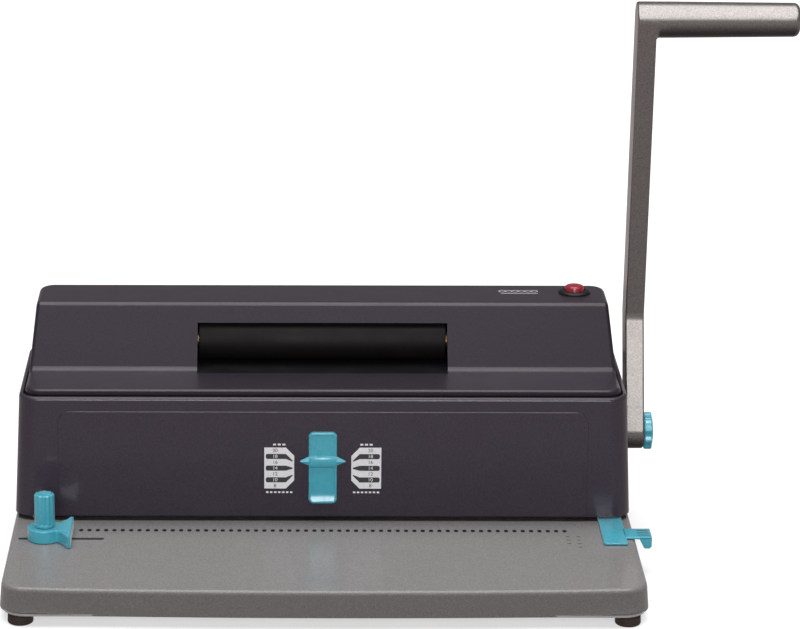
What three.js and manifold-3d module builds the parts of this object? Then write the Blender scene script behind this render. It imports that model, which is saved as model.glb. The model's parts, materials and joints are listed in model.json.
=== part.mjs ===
// A desktop coil punch and binder: a sheet-steel base with a flat bed, a punch housing
// behind it, a long pull-down lever on the right, and a driven rubber roller in a recess
// of the top cover that winds a plastic coil into the punched sheets.
// Millimetres, +Z up, +X to the right, the front faces -Y, the feet stand on Z = 0.
// The model is laid out about the middle of the base, then shifted so that the origin is
// under the middle of the whole outline, lever included.

import * as THREE from "three";
import { mergeVertices } from "three/addons/utils/BufferGeometryUtils.js";
import Module from "manifold-3d";

const wasm = await Module();
wasm.setup();

// ---------------------------------------------------------------- driving dimensions

const GAP = 0.3; // clearance between separate pieces

// base: a folded pan with a flat bed on top, closed from below, on four rubber feet
const BASE_WIDTH = 375;
const BASE_DEPTH = 230;
const BASE_CORNER_R = 16;
const BASE_BOTTOM = 7;
const BED_TOP = 23;
const SHEET = 2;
const FOOT_R = 7.5;
const FOOT_X = 175;
const FOOT_Y = 103.5;
const PLATE_THICK = 1.3;
const BASE_SCREW_X = 168;
const BASE_SCREW_Y = 68;
const BASE_SCREW_R = 1.6;
const BOSS_R = 4.2;

// punch housing, with sides that lean in towards the rim
const HOUSING_HALF = 186.4; // at its foot
const HOUSING_FRONT = 5;
const HOUSING_REAR = 114;
const THROAT = 3; // paper gap under the front of the housing
const THROAT_DEPTH = 15;
const RIM_Z = 101;
const SIDE_DRAFT = 3.5;
const HOUSING_CORNER_R = 12;
const WALL = 2.5;
const SHAFT_HOLE_R = 6.5;

// top cover: a shelf, a slanted face and a flat top, nested inside the rim
const COVER_FRONT = 9.6;
const COVER_BOTTOM = 97;
const SHELF_Z = 104.5;
const SLANT_FOOT = 47.3;
const SLANT_HEAD = 73.5;
const SLANT_FILLET = 6.8; // hollow curve between the shelf and the slanted face
const TOP_Z = 141;
const COVER_REAR = 113.7;
const COVER_HALF_FOOT = 179.8;
const COVER_HALF_TOP = 175.6;

// rear cover, held by screws to the side frames
const REAR_Y = 112.8;
const REAR_THICK = 2;
const REAR_SCREW_X = 174.5;
const REAR_SCREW_LOW = 32;
const REAR_SCREW_HIGH = 86;
const REAR_SCREW_R = 1.5;
const REAR_HEAD_R = 3;
const REAR_HEAD = 1.4;

// punch: a row of pins on a bar, driven down by racks and pinions
const PIN_COUNT = 59;
const PIN_PITCH = 5;
const PIN_R = 1.8;
const HOLE_R = 2.5; // six-sided holes, so their flats still clear the pins
const PUNCH_Y = 23;
const STROKE = 11;
const PIN_TIP = 28.5;
const BAR_BOTTOM = 60;
const BAR_TOP = 72;
const DIE_TOP = BED_TOP;
const STRIPPER_BOTTOM = 26.3;
const STRIPPER_TOP = 32;
const PLATE_FRONT = 15.5;
const PLATE_REAR = 30.5;
const DIE_HALF = 155;
const DIE_LEDGE = 5;
const BAR_HALF = 168;
const RACK_OUTER = 167.5;
const RACK_INNER = 158.5;
const SPRING_X = 152;
const SPRING_R = 3;
const SPRING_WIRE = 0.6;

// lever and its cross shaft
const SHAFT_Y = 55;
const SHAFT_Z = 64.5;
const SHAFT_R = 5;
const BORE_R = SHAFT_R + GAP;
const ARM_X = 185.7;
const ARM_THICK = 11.4;
const ARM_R = 11; // half the depth of the bar, and the radius of its round ends
const BEND_Y = 78;
const BEND_Z = 133;
const GRIP_Y = 56;
const GRIP_Z = 321.3;
const GRIP_R = 10.8;
const GRIP_END = 282.5;
const KNOB_R = 11.5;
const KNOB_THICK = 5.6;
const KNOB_LOBES = 9;

// rack and pinion: stub teeth with a wide pressure angle, so that nothing undercuts
const TOOTH_MODULE = 1.5;
const PINION_TEETH = 12;
const PITCH_R = (TOOTH_MODULE * PINION_TEETH) / 2;
const PRESSURE_ANGLE = (25 * Math.PI) / 180;
const ADDENDUM = 0.8 * TOOTH_MODULE;
const DEDENDUM = TOOTH_MODULE;
const BACKLASH = 0.3;

// inner side frames
const FRAME_X = 172;
const FRAME_THICK = 5;
const FRAME_FRONT = 14;
const FRAME_REAR = 106;
const FRAME_TOP = 95;
const BUSH_R = 8;
const TIE_Y = 66;
const TIE_Z = 88;
const TIE_R = 5;
const TIE_END_R = 3;

// coil roller, its recess, and the belt drive
const RECESS_HALF = 76.5;
const RECESS_TOP = 130;
const RECESS_REAR = 88;
const WELL_FLOOR = 103.7;
const WELL_WALL = 2;
const ROLLER_Y = 74;
const ROLLER_Z = 117.2;
const ROLLER_R = 12.3;
const ROLLER_HALF = 75.6;
const ROLLER_SHAFT_R = 3;
const ROLLER_BUSH_R = 5;
const ROLLER_BUSH = 3.5;
const MOTOR_Y = 88;
const MOTOR_Z = 82;
const PULLEY_X = 84;
const PULLEY_WIDTH = 6;
const ROLLER_PULLEY_R = 6;
const MOTOR_PULLEY_R = 5;
const MOTOR_R = 13;
const MOTOR_START = 30;
const GEARBOX_START = 60;
const MOTOR_SHAFT_R = 2.5;
const BRACKET_LEVEL = 68.7;
const BRACKET_THICK = 2.2;
const BRACKET_FRONT = 72;
const BRACKET_REAR = 106.5;
const BRACKET_LEFT = 42;
const BRACKET_RIGHT = 78;

// power board on its legs
const BOARD_LEFT = -150;
const BOARD_RIGHT = -92;
const BOARD_FRONT = 62;
const BOARD_REAR = 92;
const BOARD_Z = 30;
const BOARD_THICK = 1.6;

// run button and its bezel
const BUTTON_X = 156.5;
const BUTTON_Y = 96;
const BUTTON_R = 5.9;
const BUTTON_TOP = 146.3;
const BUTTON_BOTTOM = 135.5;
const BEZEL_R = 9.9;
const BEZEL_NECK_R = 8.2;
const BEZEL_BOTTOM = 130;
const BEZEL_PROUD = 1.9;
const SWITCH_TOP = 125;
const SWITCH_BOTTOM = 112;

// binding-depth selector: a slide on the front, with a finger scoop under its pointer band,
// and a track for its keeper inside
const SLIDE_HALF = 8.5;
const SLIDE_BOTTOM = 35;
const SLIDE_TOP = 80;
const SLIDE_FRONT = 2.2;
const SLIDE_RIM = 1.2;
const SLIDE_LIP = 6.5;
const SCOOP_DEPTH = 1.4;
const BAND_FRONT = 0.9;
const BAND_HALF = 3.6;
const POINTER_Z = 61.7;
const POINTER_TIP = 13.6;
const STEM_HALF = 2;
const STEM_RISE = 2.5;
const KEEPER_HALF = 6;
const KEEPER_RISE = 5;
const KEEPER_THICK = 2;
const SLIDE_DOWN = 8;
const SLIDE_UP = 3;
const PAPER_STOP_HALF = 150;
const PAPER_STOP_TOP = 40;
const LABEL_INNER = 17.2;
const LABEL_OUTER = 35.2;
const LABEL_BOTTOM = 44;
const LABEL_TOP = 70;

// left edge guide in its slot
const GUIDE_X = -165.7;
const GUIDE_Y = -27;
const GUIDE_R = 10.4;
const GUIDE_TOP = 30.8;
const FENCE_X = -149.6;
const FENCE_HALF = 18;
const SLOT_LEFT = -181.8;
const SLOT_RIGHT = -130.3;
const SLOT_WIDTH = 3.5;
const GUIDE_KNOB_R = 6;
const GUIDE_KNOB_TOP = 51.6;
const GUIDE_KNOB_FLUTES = 12;
const GUIDE_STUD_R = 1.5;
const GUIDE_STUD_END = 14;

// right-hand stop that pulls out past the base
const STOP_LEFT = 166.6;
const STOP_RIGHT = 180.7;
const STOP_END = 196;
const STOP_FRONT = -37;
const STOP_REAR = 12;
const STOP_THICK = 1.4;
const REACH_FRONT = -27;
const REACH_REAR = -11.5;
const TAB_START = 188;
const TAB_SLOPE_END = 191.5;
const TAB_BOTTOM = 17.5;

// chip tray and rear inlet
const TRAY_HALF = 150;
const TRAY_BOTTOM = 8.9;
const TRAY_TOP = 16.8;
const TRAY_FRONT = 12;
const TRAY_WALL = 1.5;
const INLET_X = -130;
const INLET_Z = 46;
const FLANGE_HALF = 15.5;
const FLANGE_RISE = 12;
const SOCKET_HALF = 12;
const SOCKET_RISE = 8.6;
const SOCKET_DEPTH = 14;

// ---------------------------------------------------------------- materials

const paint = (color, roughness, metalness) =>
  new THREE.MeshStandardMaterial({ color, roughness, metalness });

const HOUSING_PAINT = paint(0x3e3a44, 0.38, 0.2);
const BASE_PAINT = paint(0x8a8785, 0.55, 0.3);
const LEVER_PAINT = paint(0xa09a97, 0.45, 0.6);
const STEEL = paint(0x9a9c9f, 0.35, 1.0);
const BRONZE = paint(0xa8824a, 0.4, 0.9);
const TEAL_PLASTIC = paint(0x4fb0bb, 0.35, 0.0);
const BLACK_PLASTIC = paint(0x151517, 0.45, 0.0);
const RED_PLASTIC = paint(0x9c1f2a, 0.3, 0.0);
const RUBBER = paint(0x1a1817, 0.8, 0.0);
const LABEL = paint(0xd8d8da, 0.6, 0.0);
const BOARD = paint(0x2f6b45, 0.6, 0.0);

// ---------------------------------------------------------------- shape helpers

const machine = new THREE.Group();

function add(name, geometry, material) {
  const mesh = new THREE.Mesh(geometry, material);
  mesh.name = name;
  machine.add(mesh);
  return mesh;
}

// the geometry with its shared corners merged, ready for a boolean
function welded(geometry) {
  const copy = geometry.clone();
  copy.deleteAttribute("normal");
  copy.deleteAttribute("uv");
  return mergeVertices(copy, 1e-4);
}

function solid(geometry) {
  const shape = welded(geometry);
  const vertProperties = new Float32Array(shape.attributes.position.array);
  const triVerts = new Uint32Array(shape.index.array);
  return new wasm.Manifold(new wasm.Mesh({ numProp: 3, vertProperties, triVerts }));
}

function surface(manifold) {
  const mesh = manifold.getMesh();
  const geometry = new THREE.BufferGeometry();
  geometry.setAttribute("position", new THREE.BufferAttribute(mesh.vertProperties, 3));
  geometry.setIndex(new THREE.BufferAttribute(mesh.triVerts, 1));
  return geometry;
}

const joined = (...pieces) => surface(pieces.map(solid).reduce((a, b) => a.add(b)));

const cut = (piece, ...tools) => surface(tools.reduce((a, b) => a.subtract(solid(b)), solid(piece)));

const common = (a, b) => surface(solid(a).intersect(solid(b)));

function block(x0, x1, y0, y1, z0, z1) {
  const geometry = new THREE.BoxGeometry(x1 - x0, y1 - y0, z1 - z0);
  return geometry.translate((x0 + x1) / 2, (y0 + y1) / 2, (z0 + z1) / 2);
}

const polygon = (points) => new THREE.Shape(points.map(([a, b]) => new THREE.Vector2(a, b)));

function extruded(shape, depth, curveSegments = 6) {
  return new THREE.ExtrudeGeometry(shape, { depth, bevelEnabled: false, curveSegments });
}

// an XY outline raised from z0 to z1
const raised = (shape, z0, z1, curveSegments) =>
  extruded(shape, z1 - z0, curveSegments).translate(0, 0, z0);

// a YZ outline run along X from x0 to x1
function runAlongX(shape, x0, x1, curveSegments) {
  const turn = new THREE.Matrix4().set(0, 0, 1, 0, 1, 0, 0, 0, 0, 1, 0, 0, 0, 0, 0, 1);
  return extruded(shape, x1 - x0, curveSegments).applyMatrix4(turn).translate(x0, 0, 0);
}

// an XZ outline run along Y from y0 to y1
const runAlongY = (shape, y0, y1, curveSegments) =>
  extruded(shape, y1 - y0, curveSegments).rotateX(Math.PI / 2).translate(0, y1, 0);

const postZ = (x, y, z0, z1, r, sides = 20) =>
  new THREE.CylinderGeometry(r, r, z1 - z0, sides)
    .rotateX(Math.PI / 2)
    .translate(x, y, (z0 + z1) / 2);

const postY = (x, z, y0, y1, r, sides = 20) =>
  new THREE.CylinderGeometry(r, r, y1 - y0, sides).translate(x, (y0 + y1) / 2, z);

const rodX = (y, z, x0, x1, r, sides = 20) =>
  new THREE.CylinderGeometry(r, r, x1 - x0, sides)
    .rotateZ(-Math.PI / 2)
    .translate((x0 + x1) / 2, y, z);

// a profile of [radius, height] points turned about Z
function turned(profile, x, y, sides = 24) {
  const points = profile.map(([r, z]) => new THREE.Vector2(r, z));
  return new THREE.LatheGeometry(points, sides).rotateX(Math.PI / 2).translate(x, y, 0);
}

// a ring of rectangular section about an X axis
function ringX(y, z, x0, x1, inner, outer, steps = 9) {
  const shape = new THREE.Shape().absarc(y, z, outer, 0, 2 * Math.PI);
  shape.holes.push(new THREE.Path().absarc(y, z, inner, 0, 2 * Math.PI, true));
  return runAlongX(shape, x0, x1, steps);
}

function roundedRect(x0, x1, y0, y1, r) {
  const shape = new THREE.Shape();
  shape.moveTo(x0 + r, y0);
  shape.absarc(x1 - r, y0 + r, r, -Math.PI / 2, 0);
  shape.absarc(x1 - r, y1 - r, r, 0, Math.PI / 2);
  shape.absarc(x0 + r, y1 - r, r, Math.PI / 2, Math.PI);
  shape.absarc(x0 + r, y0 + r, r, Math.PI, 1.5 * Math.PI);
  return shape;
}

// draws every point of the geometry in towards X = 0, from no change at z0 to scale at z1
function draftedX(geometry, z0, z1, scale) {
  const position = geometry.attributes.position;
  for (let i = 0; i < position.count; i += 1) {
    const t = (position.getZ(i) - z0) / (z1 - z0);
    position.setX(i, position.getX(i) * (1 + (scale - 1) * t));
  }
  return geometry;
}

// a round wave: a circle of radius r whose edge rises and falls by depth, lobes times
function lobed(cx, cy, r, depth, lobes, steps) {
  const points = [];
  for (let i = 0; i < lobes * steps; i += 1) {
    const angle = (2 * Math.PI * i) / (lobes * steps);
    const reach = r - depth * (1 - Math.cos(lobes * angle)) * 0.5;
    points.push([cx + reach * Math.cos(angle), cy + reach * Math.sin(angle)]);
  }
  return polygon(points);
}

// ---------------------------------------------------------------- base

const frontY = -BASE_DEPTH / 2;
const rearY = BASE_DEPTH / 2;
const sideX = BASE_WIDTH / 2;

function basePan() {
  const outer = raised(roundedRect(-sideX, sideX, frontY, rearY, BASE_CORNER_R), BASE_BOTTOM, BED_TOP);
  const inside = roundedRect(
    -sideX + SHEET, sideX - SHEET, frontY + SHEET, rearY - SHEET, BASE_CORNER_R - SHEET);
  const hollow = raised(inside, BASE_BOTTOM - 1, BED_TOP - SHEET);
  const slotR = SLOT_WIDTH / 2;
  const slot = raised(
    roundedRect(SLOT_LEFT, SLOT_RIGHT, GUIDE_Y - slotR, GUIDE_Y + slotR, slotR * 0.98),
    BED_TOP - SHEET - 1, BED_TOP + 1, 3);
  const dieWindow = block(
    -DIE_HALF - GAP, DIE_HALF + GAP, PLATE_FRONT - GAP, PLATE_REAR + GAP, BED_TOP - SHEET - 1, BED_TOP + 1);
  const trayMouth = block(
    -TRAY_HALF - 2 - GAP, TRAY_HALF + 2 + GAP, rearY - SHEET - 1, rearY + 1,
    TRAY_BOTTOM - GAP, TRAY_TOP + GAP);
  const shell = cut(outer, hollow, slot, dieWindow, trayMouth);
  const bosses = screwPlaces.map(([x, y]) => postZ(x, y, BASE_BOTTOM + 2, BED_TOP - 1, BOSS_R, 10));
  const bores = screwPlaces.map(([x, y]) => postZ(x, y, BASE_BOTTOM + 1, 15, BASE_SCREW_R + 0.35, 8));
  return cut(joined(shell, ...bosses), ...bores);
}

const corners = [["front_left", -1, -1], ["front_right", 1, -1], ["rear_left", -1, 1], ["rear_right", 1, 1]];
const screwPlaces = corners.map(([, sx, sy]) => [sx * BASE_SCREW_X, sy * BASE_SCREW_Y]);

function basePlate() {
  const inset = SHEET + GAP;
  const sheet = raised(
    roundedRect(-sideX + inset, sideX - inset, frontY + inset, rearY - inset, BASE_CORNER_R - inset),
    BASE_BOTTOM, BASE_BOTTOM + PLATE_THICK);
  const holes = screwPlaces.map(([x, y]) =>
    postZ(x, y, BASE_BOTTOM - 1, BASE_BOTTOM + 3, BASE_SCREW_R + 0.5, 8));
  return cut(sheet, ...holes);
}

add("base_pan", basePan(), BASE_PAINT);
add("base_plate", basePlate(), STEEL);
corners.forEach(([corner, sx, sy], index) => {
  const foot = [[0, 0], [FOOT_R - 1.2, 0], [FOOT_R, 1.2], [FOOT_R - 0.6, BASE_BOTTOM - GAP],
    [0, BASE_BOTTOM - GAP]];
  add(`foot_${corner}`, turned(foot, sx * FOOT_X, sy * FOOT_Y, 16), RUBBER);
  const [x, y] = screwPlaces[index];
  const headTop = BASE_BOTTOM - GAP;
  const screw = [
    [0, headTop - 1.4], [3.4, headTop - 1.4], [3.4, headTop], [BASE_SCREW_R, headTop],
    [BASE_SCREW_R, 14], [0, 14]];
  add(`base_screw_${corner}`, turned(screw, x, y, 10), STEEL);
});

// ---------------------------------------------------------------- housing

const rimHalf = HOUSING_HALF - SIDE_DRAFT;
const housingFoot = BED_TOP + GAP;

function draftedShell() {
  const scale = rimHalf / HOUSING_HALF;
  const outer = draftedX(
    raised(
      roundedRect(-HOUSING_HALF, HOUSING_HALF, HOUSING_FRONT, HOUSING_REAR, HOUSING_CORNER_R),
      housingFoot, RIM_Z, 4),
    housingFoot, RIM_Z, scale);
  const inside = roundedRect(
    -HOUSING_HALF + WALL, HOUSING_HALF - WALL, HOUSING_FRONT + WALL, HOUSING_REAR + 20,
    HOUSING_CORNER_R - WALL);
  const hollow = draftedX(
    raised(inside, housingFoot - 1, RIM_Z + 1, 4), housingFoot, RIM_Z, scale);
  return [outer, hollow];
}

function housing() {
  const [outer, hollow] = draftedShell();
  const throat = block(-200, 200, 0, HOUSING_FRONT + THROAT_DEPTH, 20, BED_TOP + THROAT);
  const rearTrim = block(-200, 200, HOUSING_REAR - 4, HOUSING_REAR + 5, 20, RIM_Z + 5);
  const shaftHole = rodX(SHAFT_Y, SHAFT_Z, 170, 190, SHAFT_HOLE_R);
  const sliderSlot = block(
    -STEM_HALF - GAP, STEM_HALF + GAP, 0, 12,
    POINTER_Z - SLIDE_DOWN - STEM_RISE - GAP, POINTER_Z + SLIDE_UP + STEM_RISE + GAP);
  return cut(outer, hollow, throat, rearTrim, shaftHole, sliderSlot);
}

const coverFace = (z) => SLANT_FOOT + ((z - SHELF_Z) * (SLANT_HEAD - SLANT_FOOT)) / (TOP_Z - SHELF_Z);
const slantAngle = Math.atan2(SLANT_HEAD - SLANT_FOOT, TOP_Z - SHELF_Z);
const slantWall = WALL / Math.cos(slantAngle);

// where the hollow curve at the slant's foot meets the shelf
const turnAngle = Math.PI / 2 - slantAngle;
const filletY = SLANT_FOOT - SLANT_FILLET * Math.tan(turnAngle / 2);

function slantFillet(steps) {
  return Array.from({ length: steps + 1 }, (_, i) => {
    const angle = (turnAngle * (steps - i)) / steps;
    return [filletY + SLANT_FILLET * Math.sin(angle), SHELF_Z + SLANT_FILLET * (1 - Math.cos(angle))];
  });
}

function topCover() {
  const outline = polygon([
    [COVER_FRONT, COVER_BOTTOM], [COVER_REAR, COVER_BOTTOM], [COVER_REAR, TOP_Z],
    [SLANT_HEAD, TOP_Z], ...slantFillet(4), [COVER_FRONT, SHELF_Z]]);
  const inner = polygon([
    [COVER_FRONT + WALL, COVER_BOTTOM - 1], [COVER_REAR - WALL, COVER_BOTTOM - 1],
    [COVER_REAR - WALL, TOP_Z - WALL], [coverFace(TOP_Z - WALL) + slantWall, TOP_Z - WALL],
    [coverFace(SHELF_Z - WALL) + slantWall, SHELF_Z - WALL], [COVER_FRONT + WALL, SHELF_Z - WALL]]);
  const scale = COVER_HALF_TOP / COVER_HALF_FOOT;
  const shell = (shape, half) =>
    draftedX(runAlongX(shape, -half, half), COVER_BOTTOM, TOP_Z, scale);
  const recess = block(-RECESS_HALF, RECESS_HALF, filletY, RECESS_REAR, SHELF_Z - WALL - 1, RECESS_TOP);
  const buttonHole = postZ(BUTTON_X, BUTTON_Y, TOP_Z - 6, TOP_Z + 3, BEZEL_NECK_R + 0.4);
  const plan = roundedRect(
    -COVER_HALF_FOOT, COVER_HALF_FOOT, COVER_FRONT, COVER_REAR, HOUSING_CORNER_R - WALL);
  const rounded = draftedX(raised(plan, COVER_BOTTOM - 1, TOP_Z + 1, 4), COVER_BOTTOM, TOP_Z, scale);
  return cut(
    common(shell(outline, COVER_HALF_FOOT), rounded), shell(inner, COVER_HALF_FOOT - WALL),
    recess, buttonHole);
}

const rearScrews = [
  [-REAR_SCREW_X, REAR_SCREW_LOW], [REAR_SCREW_X, REAR_SCREW_LOW],
  [-REAR_SCREW_X, REAR_SCREW_HIGH], [REAR_SCREW_X, REAR_SCREW_HIGH]];

function rearCover() {
  const top = COVER_BOTTOM - GAP;
  const bottomHalf = HOUSING_HALF - WALL - GAP - 0.2;
  const topHalf = bottomHalf - (SIDE_DRAFT * (top - housingFoot)) / (RIM_Z - housingFoot);
  const sheet = runAlongY(
    polygon([[-bottomHalf, housingFoot], [bottomHalf, housingFoot], [topHalf, top], [-topHalf, top]]),
    REAR_Y - REAR_THICK, REAR_Y);
  const inletHole = block(
    INLET_X - SOCKET_HALF - 1.8, INLET_X + SOCKET_HALF + 1.8, 100, 120,
    INLET_Z - SOCKET_RISE - 2.2, INLET_Z + SOCKET_RISE + 2.2);
  const holes = rearScrews.map(([x, z]) => postY(x, z, 105, 120, REAR_SCREW_R + 0.4, 12));
  return cut(sheet, inletHole, ...holes);
}

add("housing", housing(), HOUSING_PAINT);
add("top_cover", topCover(), HOUSING_PAINT);
add("rear_cover", rearCover(), HOUSING_PAINT);
rearScrews.forEach(([x, z], index) => {
  const screw = joined(
    postY(x, z, REAR_Y + GAP, REAR_Y + GAP + REAR_HEAD, REAR_HEAD_R, 10),
    postY(x, z, FRAME_REAR + GAP, REAR_Y + 1, REAR_SCREW_R, 10));
  add(`rear_screw_${index + 1}`, screw, STEEL);
});

// three-blade socket; the lead that plugs into it isn't part of the machine
function inlet() {
  const face = REAR_Y + GAP;
  const centred = (half, y0, y1, rise) =>
    block(INLET_X - half, INLET_X + half, y0, y1, INLET_Z - rise, INLET_Z + rise);
  const flange = centred(FLANGE_HALF, face, face + 1.8, FLANGE_RISE);
  const body = centred(SOCKET_HALF + 1.5, face - SOCKET_DEPTH - 3, face + 1, SOCKET_RISE + 1.8);
  const socket = centred(SOCKET_HALF, face - SOCKET_DEPTH, face + 3, SOCKET_RISE);
  const blades = [[-7, -2], [0, 2], [7, -2]].map(([dx, dz]) =>
    centred(1, face - SOCKET_DEPTH - 1, face - 2, 2).translate(dx, 0, dz));
  return joined(cut(joined(flange, body), socket), ...blades);
}

add("power_inlet", inlet(), BLACK_PLASTIC);

// ---------------------------------------------------------------- punch frame

function sideFrame(side) {
  const outline = polygon([
    [FRAME_FRONT, housingFoot], [FRAME_REAR, housingFoot], [FRAME_REAR, FRAME_TOP],
    [FRAME_FRONT, FRAME_TOP]]);
  const x0 = side > 0 ? FRAME_X : -FRAME_X - FRAME_THICK;
  const plate = runAlongX(outline, x0, x0 + FRAME_THICK);
  const bearing = rodX(SHAFT_Y, SHAFT_Z, x0 - 1, x0 + FRAME_THICK + 1, BUSH_R + GAP);
  const guideSlot = block(x0 - 1, x0 + FRAME_THICK + 1, PUNCH_Y - 4.5, PUNCH_Y + 4.5,
    BAR_BOTTOM + 2 - STROKE - 1, BAR_TOP - 1);
  const tieHole = rodX(TIE_Y, TIE_Z, x0 - 1, x0 + FRAME_THICK + 1, TIE_END_R + GAP, 16);
  return cut(plate, bearing, guideSlot, tieHole);
}

const pinX = Array.from({ length: PIN_COUNT }, (_, i) => (i - (PIN_COUNT - 1) / 2) * PIN_PITCH);

const perforated = (plate, z0, z1) =>
  cut(plate, ...pinX.map((x) => postZ(x, PUNCH_Y, z0 - 1, z1 + 1, HOLE_R, 6)));

// the die fills a window in the bed and hangs from a wider flange under it
function diePlate() {
  const ledgeTop = BED_TOP - SHEET - GAP;
  const ledgeBottom = ledgeTop - 2.3;
  const upper = block(-DIE_HALF, DIE_HALF, PLATE_FRONT, PLATE_REAR, ledgeTop - 1, DIE_TOP);
  const ledge = block(
    -DIE_HALF - DIE_LEDGE, DIE_HALF + DIE_LEDGE, PLATE_FRONT - DIE_LEDGE, PLATE_REAR + DIE_LEDGE,
    ledgeBottom, ledgeTop);
  return perforated(joined(upper, ledge), ledgeBottom, DIE_TOP);
}

const stripperPlate = () =>
  perforated(
    block(-FRAME_X + GAP, FRAME_X - GAP, PLATE_FRONT, PLATE_REAR, STRIPPER_BOTTOM, STRIPPER_TOP),
    STRIPPER_BOTTOM, STRIPPER_TOP);

for (const [side, sign] of [["left", -1], ["right", 1]]) {
  add(`side_frame_${side}`, sideFrame(sign), STEEL);
  const x0 = sign > 0 ? FRAME_X - 0.5 : -FRAME_X - FRAME_THICK - 0.5;
  add(`shaft_bush_${side}`, ringX(SHAFT_Y, SHAFT_Z, x0, x0 + FRAME_THICK + 1, BORE_R, BUSH_R), BRONZE);
}
add("die_plate", diePlate(), STEEL);
add("stripper_plate", stripperPlate(), STEEL);
add("tie_bar",
  joined(
    rodX(TIE_Y, TIE_Z, -FRAME_X + GAP, FRAME_X - GAP, TIE_R, 16),
    rodX(TIE_Y, TIE_Z, -FRAME_X - FRAME_THICK, FRAME_X + FRAME_THICK, TIE_END_R, 16)),
  STEEL);

// ---------------------------------------------------------------- punch bar and drive

// involute flank points of one tooth side, as [radius, angle from the tooth's middle]
function flank() {
  const baseR = PITCH_R * Math.cos(PRESSURE_ANGLE);
  const involute = (r) => Math.tan(Math.acos(baseR / r)) - Math.acos(baseR / r);
  const halfTooth = Math.PI / (2 * PINION_TEETH) - BACKLASH / (2 * PITCH_R);
  const angleAt = (r) => halfTooth + involute(PITCH_R) - involute(r);
  const points = [[PITCH_R - DEDENDUM, angleAt(baseR)]];
  const steps = 3;
  for (let i = 0; i < steps; i += 1) {
    const r = baseR + ((PITCH_R + ADDENDUM - baseR) * i) / (steps - 1);
    points.push([r, angleAt(r)]);
  }
  return points;
}

// a gap between two teeth faces the rack, which lies towards -Y
function pinion(x0, x1) {
  const points = [];
  for (let tooth = 0; tooth < PINION_TEETH; tooth += 1) {
    const middle = (2 * Math.PI * (tooth + 0.5)) / PINION_TEETH;
    const side = flank();
    const rising = side.map(([r, a]) => [r, middle - a]);
    const falling = [...side].reverse().map(([r, a]) => [r, middle + a]);
    points.push(...rising, ...falling);
  }
  const shape = polygon(points.map(([r, a]) => [SHAFT_Y + r * Math.cos(a), SHAFT_Z + r * Math.sin(a)]));
  shape.holes.push(new THREE.Path().absarc(SHAFT_Y, SHAFT_Z, BORE_R, 0, 2 * Math.PI, true));
  return runAlongX(shape, x0, x1, 6);
}

// rack teeth point to +Y; one tooth's middle is level with the shaft at rest
function rack(x0, x1) {
  const pitchY = SHAFT_Y - PITCH_R;
  const pitch = Math.PI * TOOTH_MODULE;
  const lean = Math.tan(PRESSURE_ANGLE);
  const half = pitch / 4 - BACKLASH / 4;
  const low = -2;
  const high = 5;
  const points = [[PUNCH_Y + 4, SHAFT_Z + (low - 0.5) * pitch]];
  for (let tooth = low; tooth <= high; tooth += 1) {
    const z = SHAFT_Z + tooth * pitch;
    points.push([pitchY - DEDENDUM, z - half - DEDENDUM * lean]);
    points.push([pitchY + ADDENDUM, z - half + ADDENDUM * lean]);
    points.push([pitchY + ADDENDUM, z + half - ADDENDUM * lean]);
    points.push([pitchY - DEDENDUM, z + half + DEDENDUM * lean]);
  }
  points.push([PUNCH_Y + 4, SHAFT_Z + (high + 0.5) * pitch]);
  return runAlongX(polygon(points), x0, x1);
}

function punchBar() {
  const bar = block(-BAR_HALF, BAR_HALF, PUNCH_Y - 5, PUNCH_Y + 5, BAR_BOTTOM, BAR_TOP);
  const tongueEnd = FRAME_X + FRAME_THICK - 0.5;
  const tongues = block(-tongueEnd, tongueEnd, PUNCH_Y - 4, PUNCH_Y + 4, BAR_BOTTOM + 2, BAR_TOP - 2);
  const racks = [rack(-RACK_OUTER, -RACK_INNER), rack(RACK_INNER, RACK_OUTER)];
  const pins = pinX.map((x) => postZ(x, PUNCH_Y, PIN_TIP, BAR_BOTTOM + 1, PIN_R, 6));
  return joined(bar, tongues, ...racks, ...pins);
}

function coilSpring(x, y, z0, z1, r, wire, turns) {
  const steps = turns * 8;
  const points = [];
  for (let i = 0; i <= steps; i += 1) {
    const angle = (2 * Math.PI * turns * i) / steps;
    const z = z0 + wire + ((z1 - z0 - 2 * wire) * i) / steps;
    points.push(new THREE.Vector3(x + r * Math.cos(angle), y + r * Math.sin(angle), z));
  }
  const section = new THREE.Shape().absarc(0, 0, wire, 0, 2 * Math.PI);
  const path = new THREE.CatmullRomCurve3(points);
  return new THREE.ExtrudeGeometry(section, {
    steps, extrudePath: path, curveSegments: 3, bevelEnabled: false });
}

add("punch_bar", punchBar(), STEEL);
for (const [side, sign] of [["left", -1], ["right", 1]]) {
  const spring = coilSpring(
    sign * SPRING_X, PUNCH_Y, STRIPPER_TOP + GAP, BAR_BOTTOM - GAP, SPRING_R, SPRING_WIRE, 5);
  add(`return_spring_${side}`, spring, STEEL);
  const near = RACK_INNER + 0.5;
  const far = RACK_OUTER - 0.5;
  add(`pinion_${side}`, sign > 0 ? pinion(near, far) : pinion(-far, -near), STEEL);
}
add("drive_shaft", rodX(SHAFT_Y, SHAFT_Z, -178, ARM_X + ARM_THICK - 0.3, SHAFT_R), STEEL);

// ---------------------------------------------------------------- lever

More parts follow.
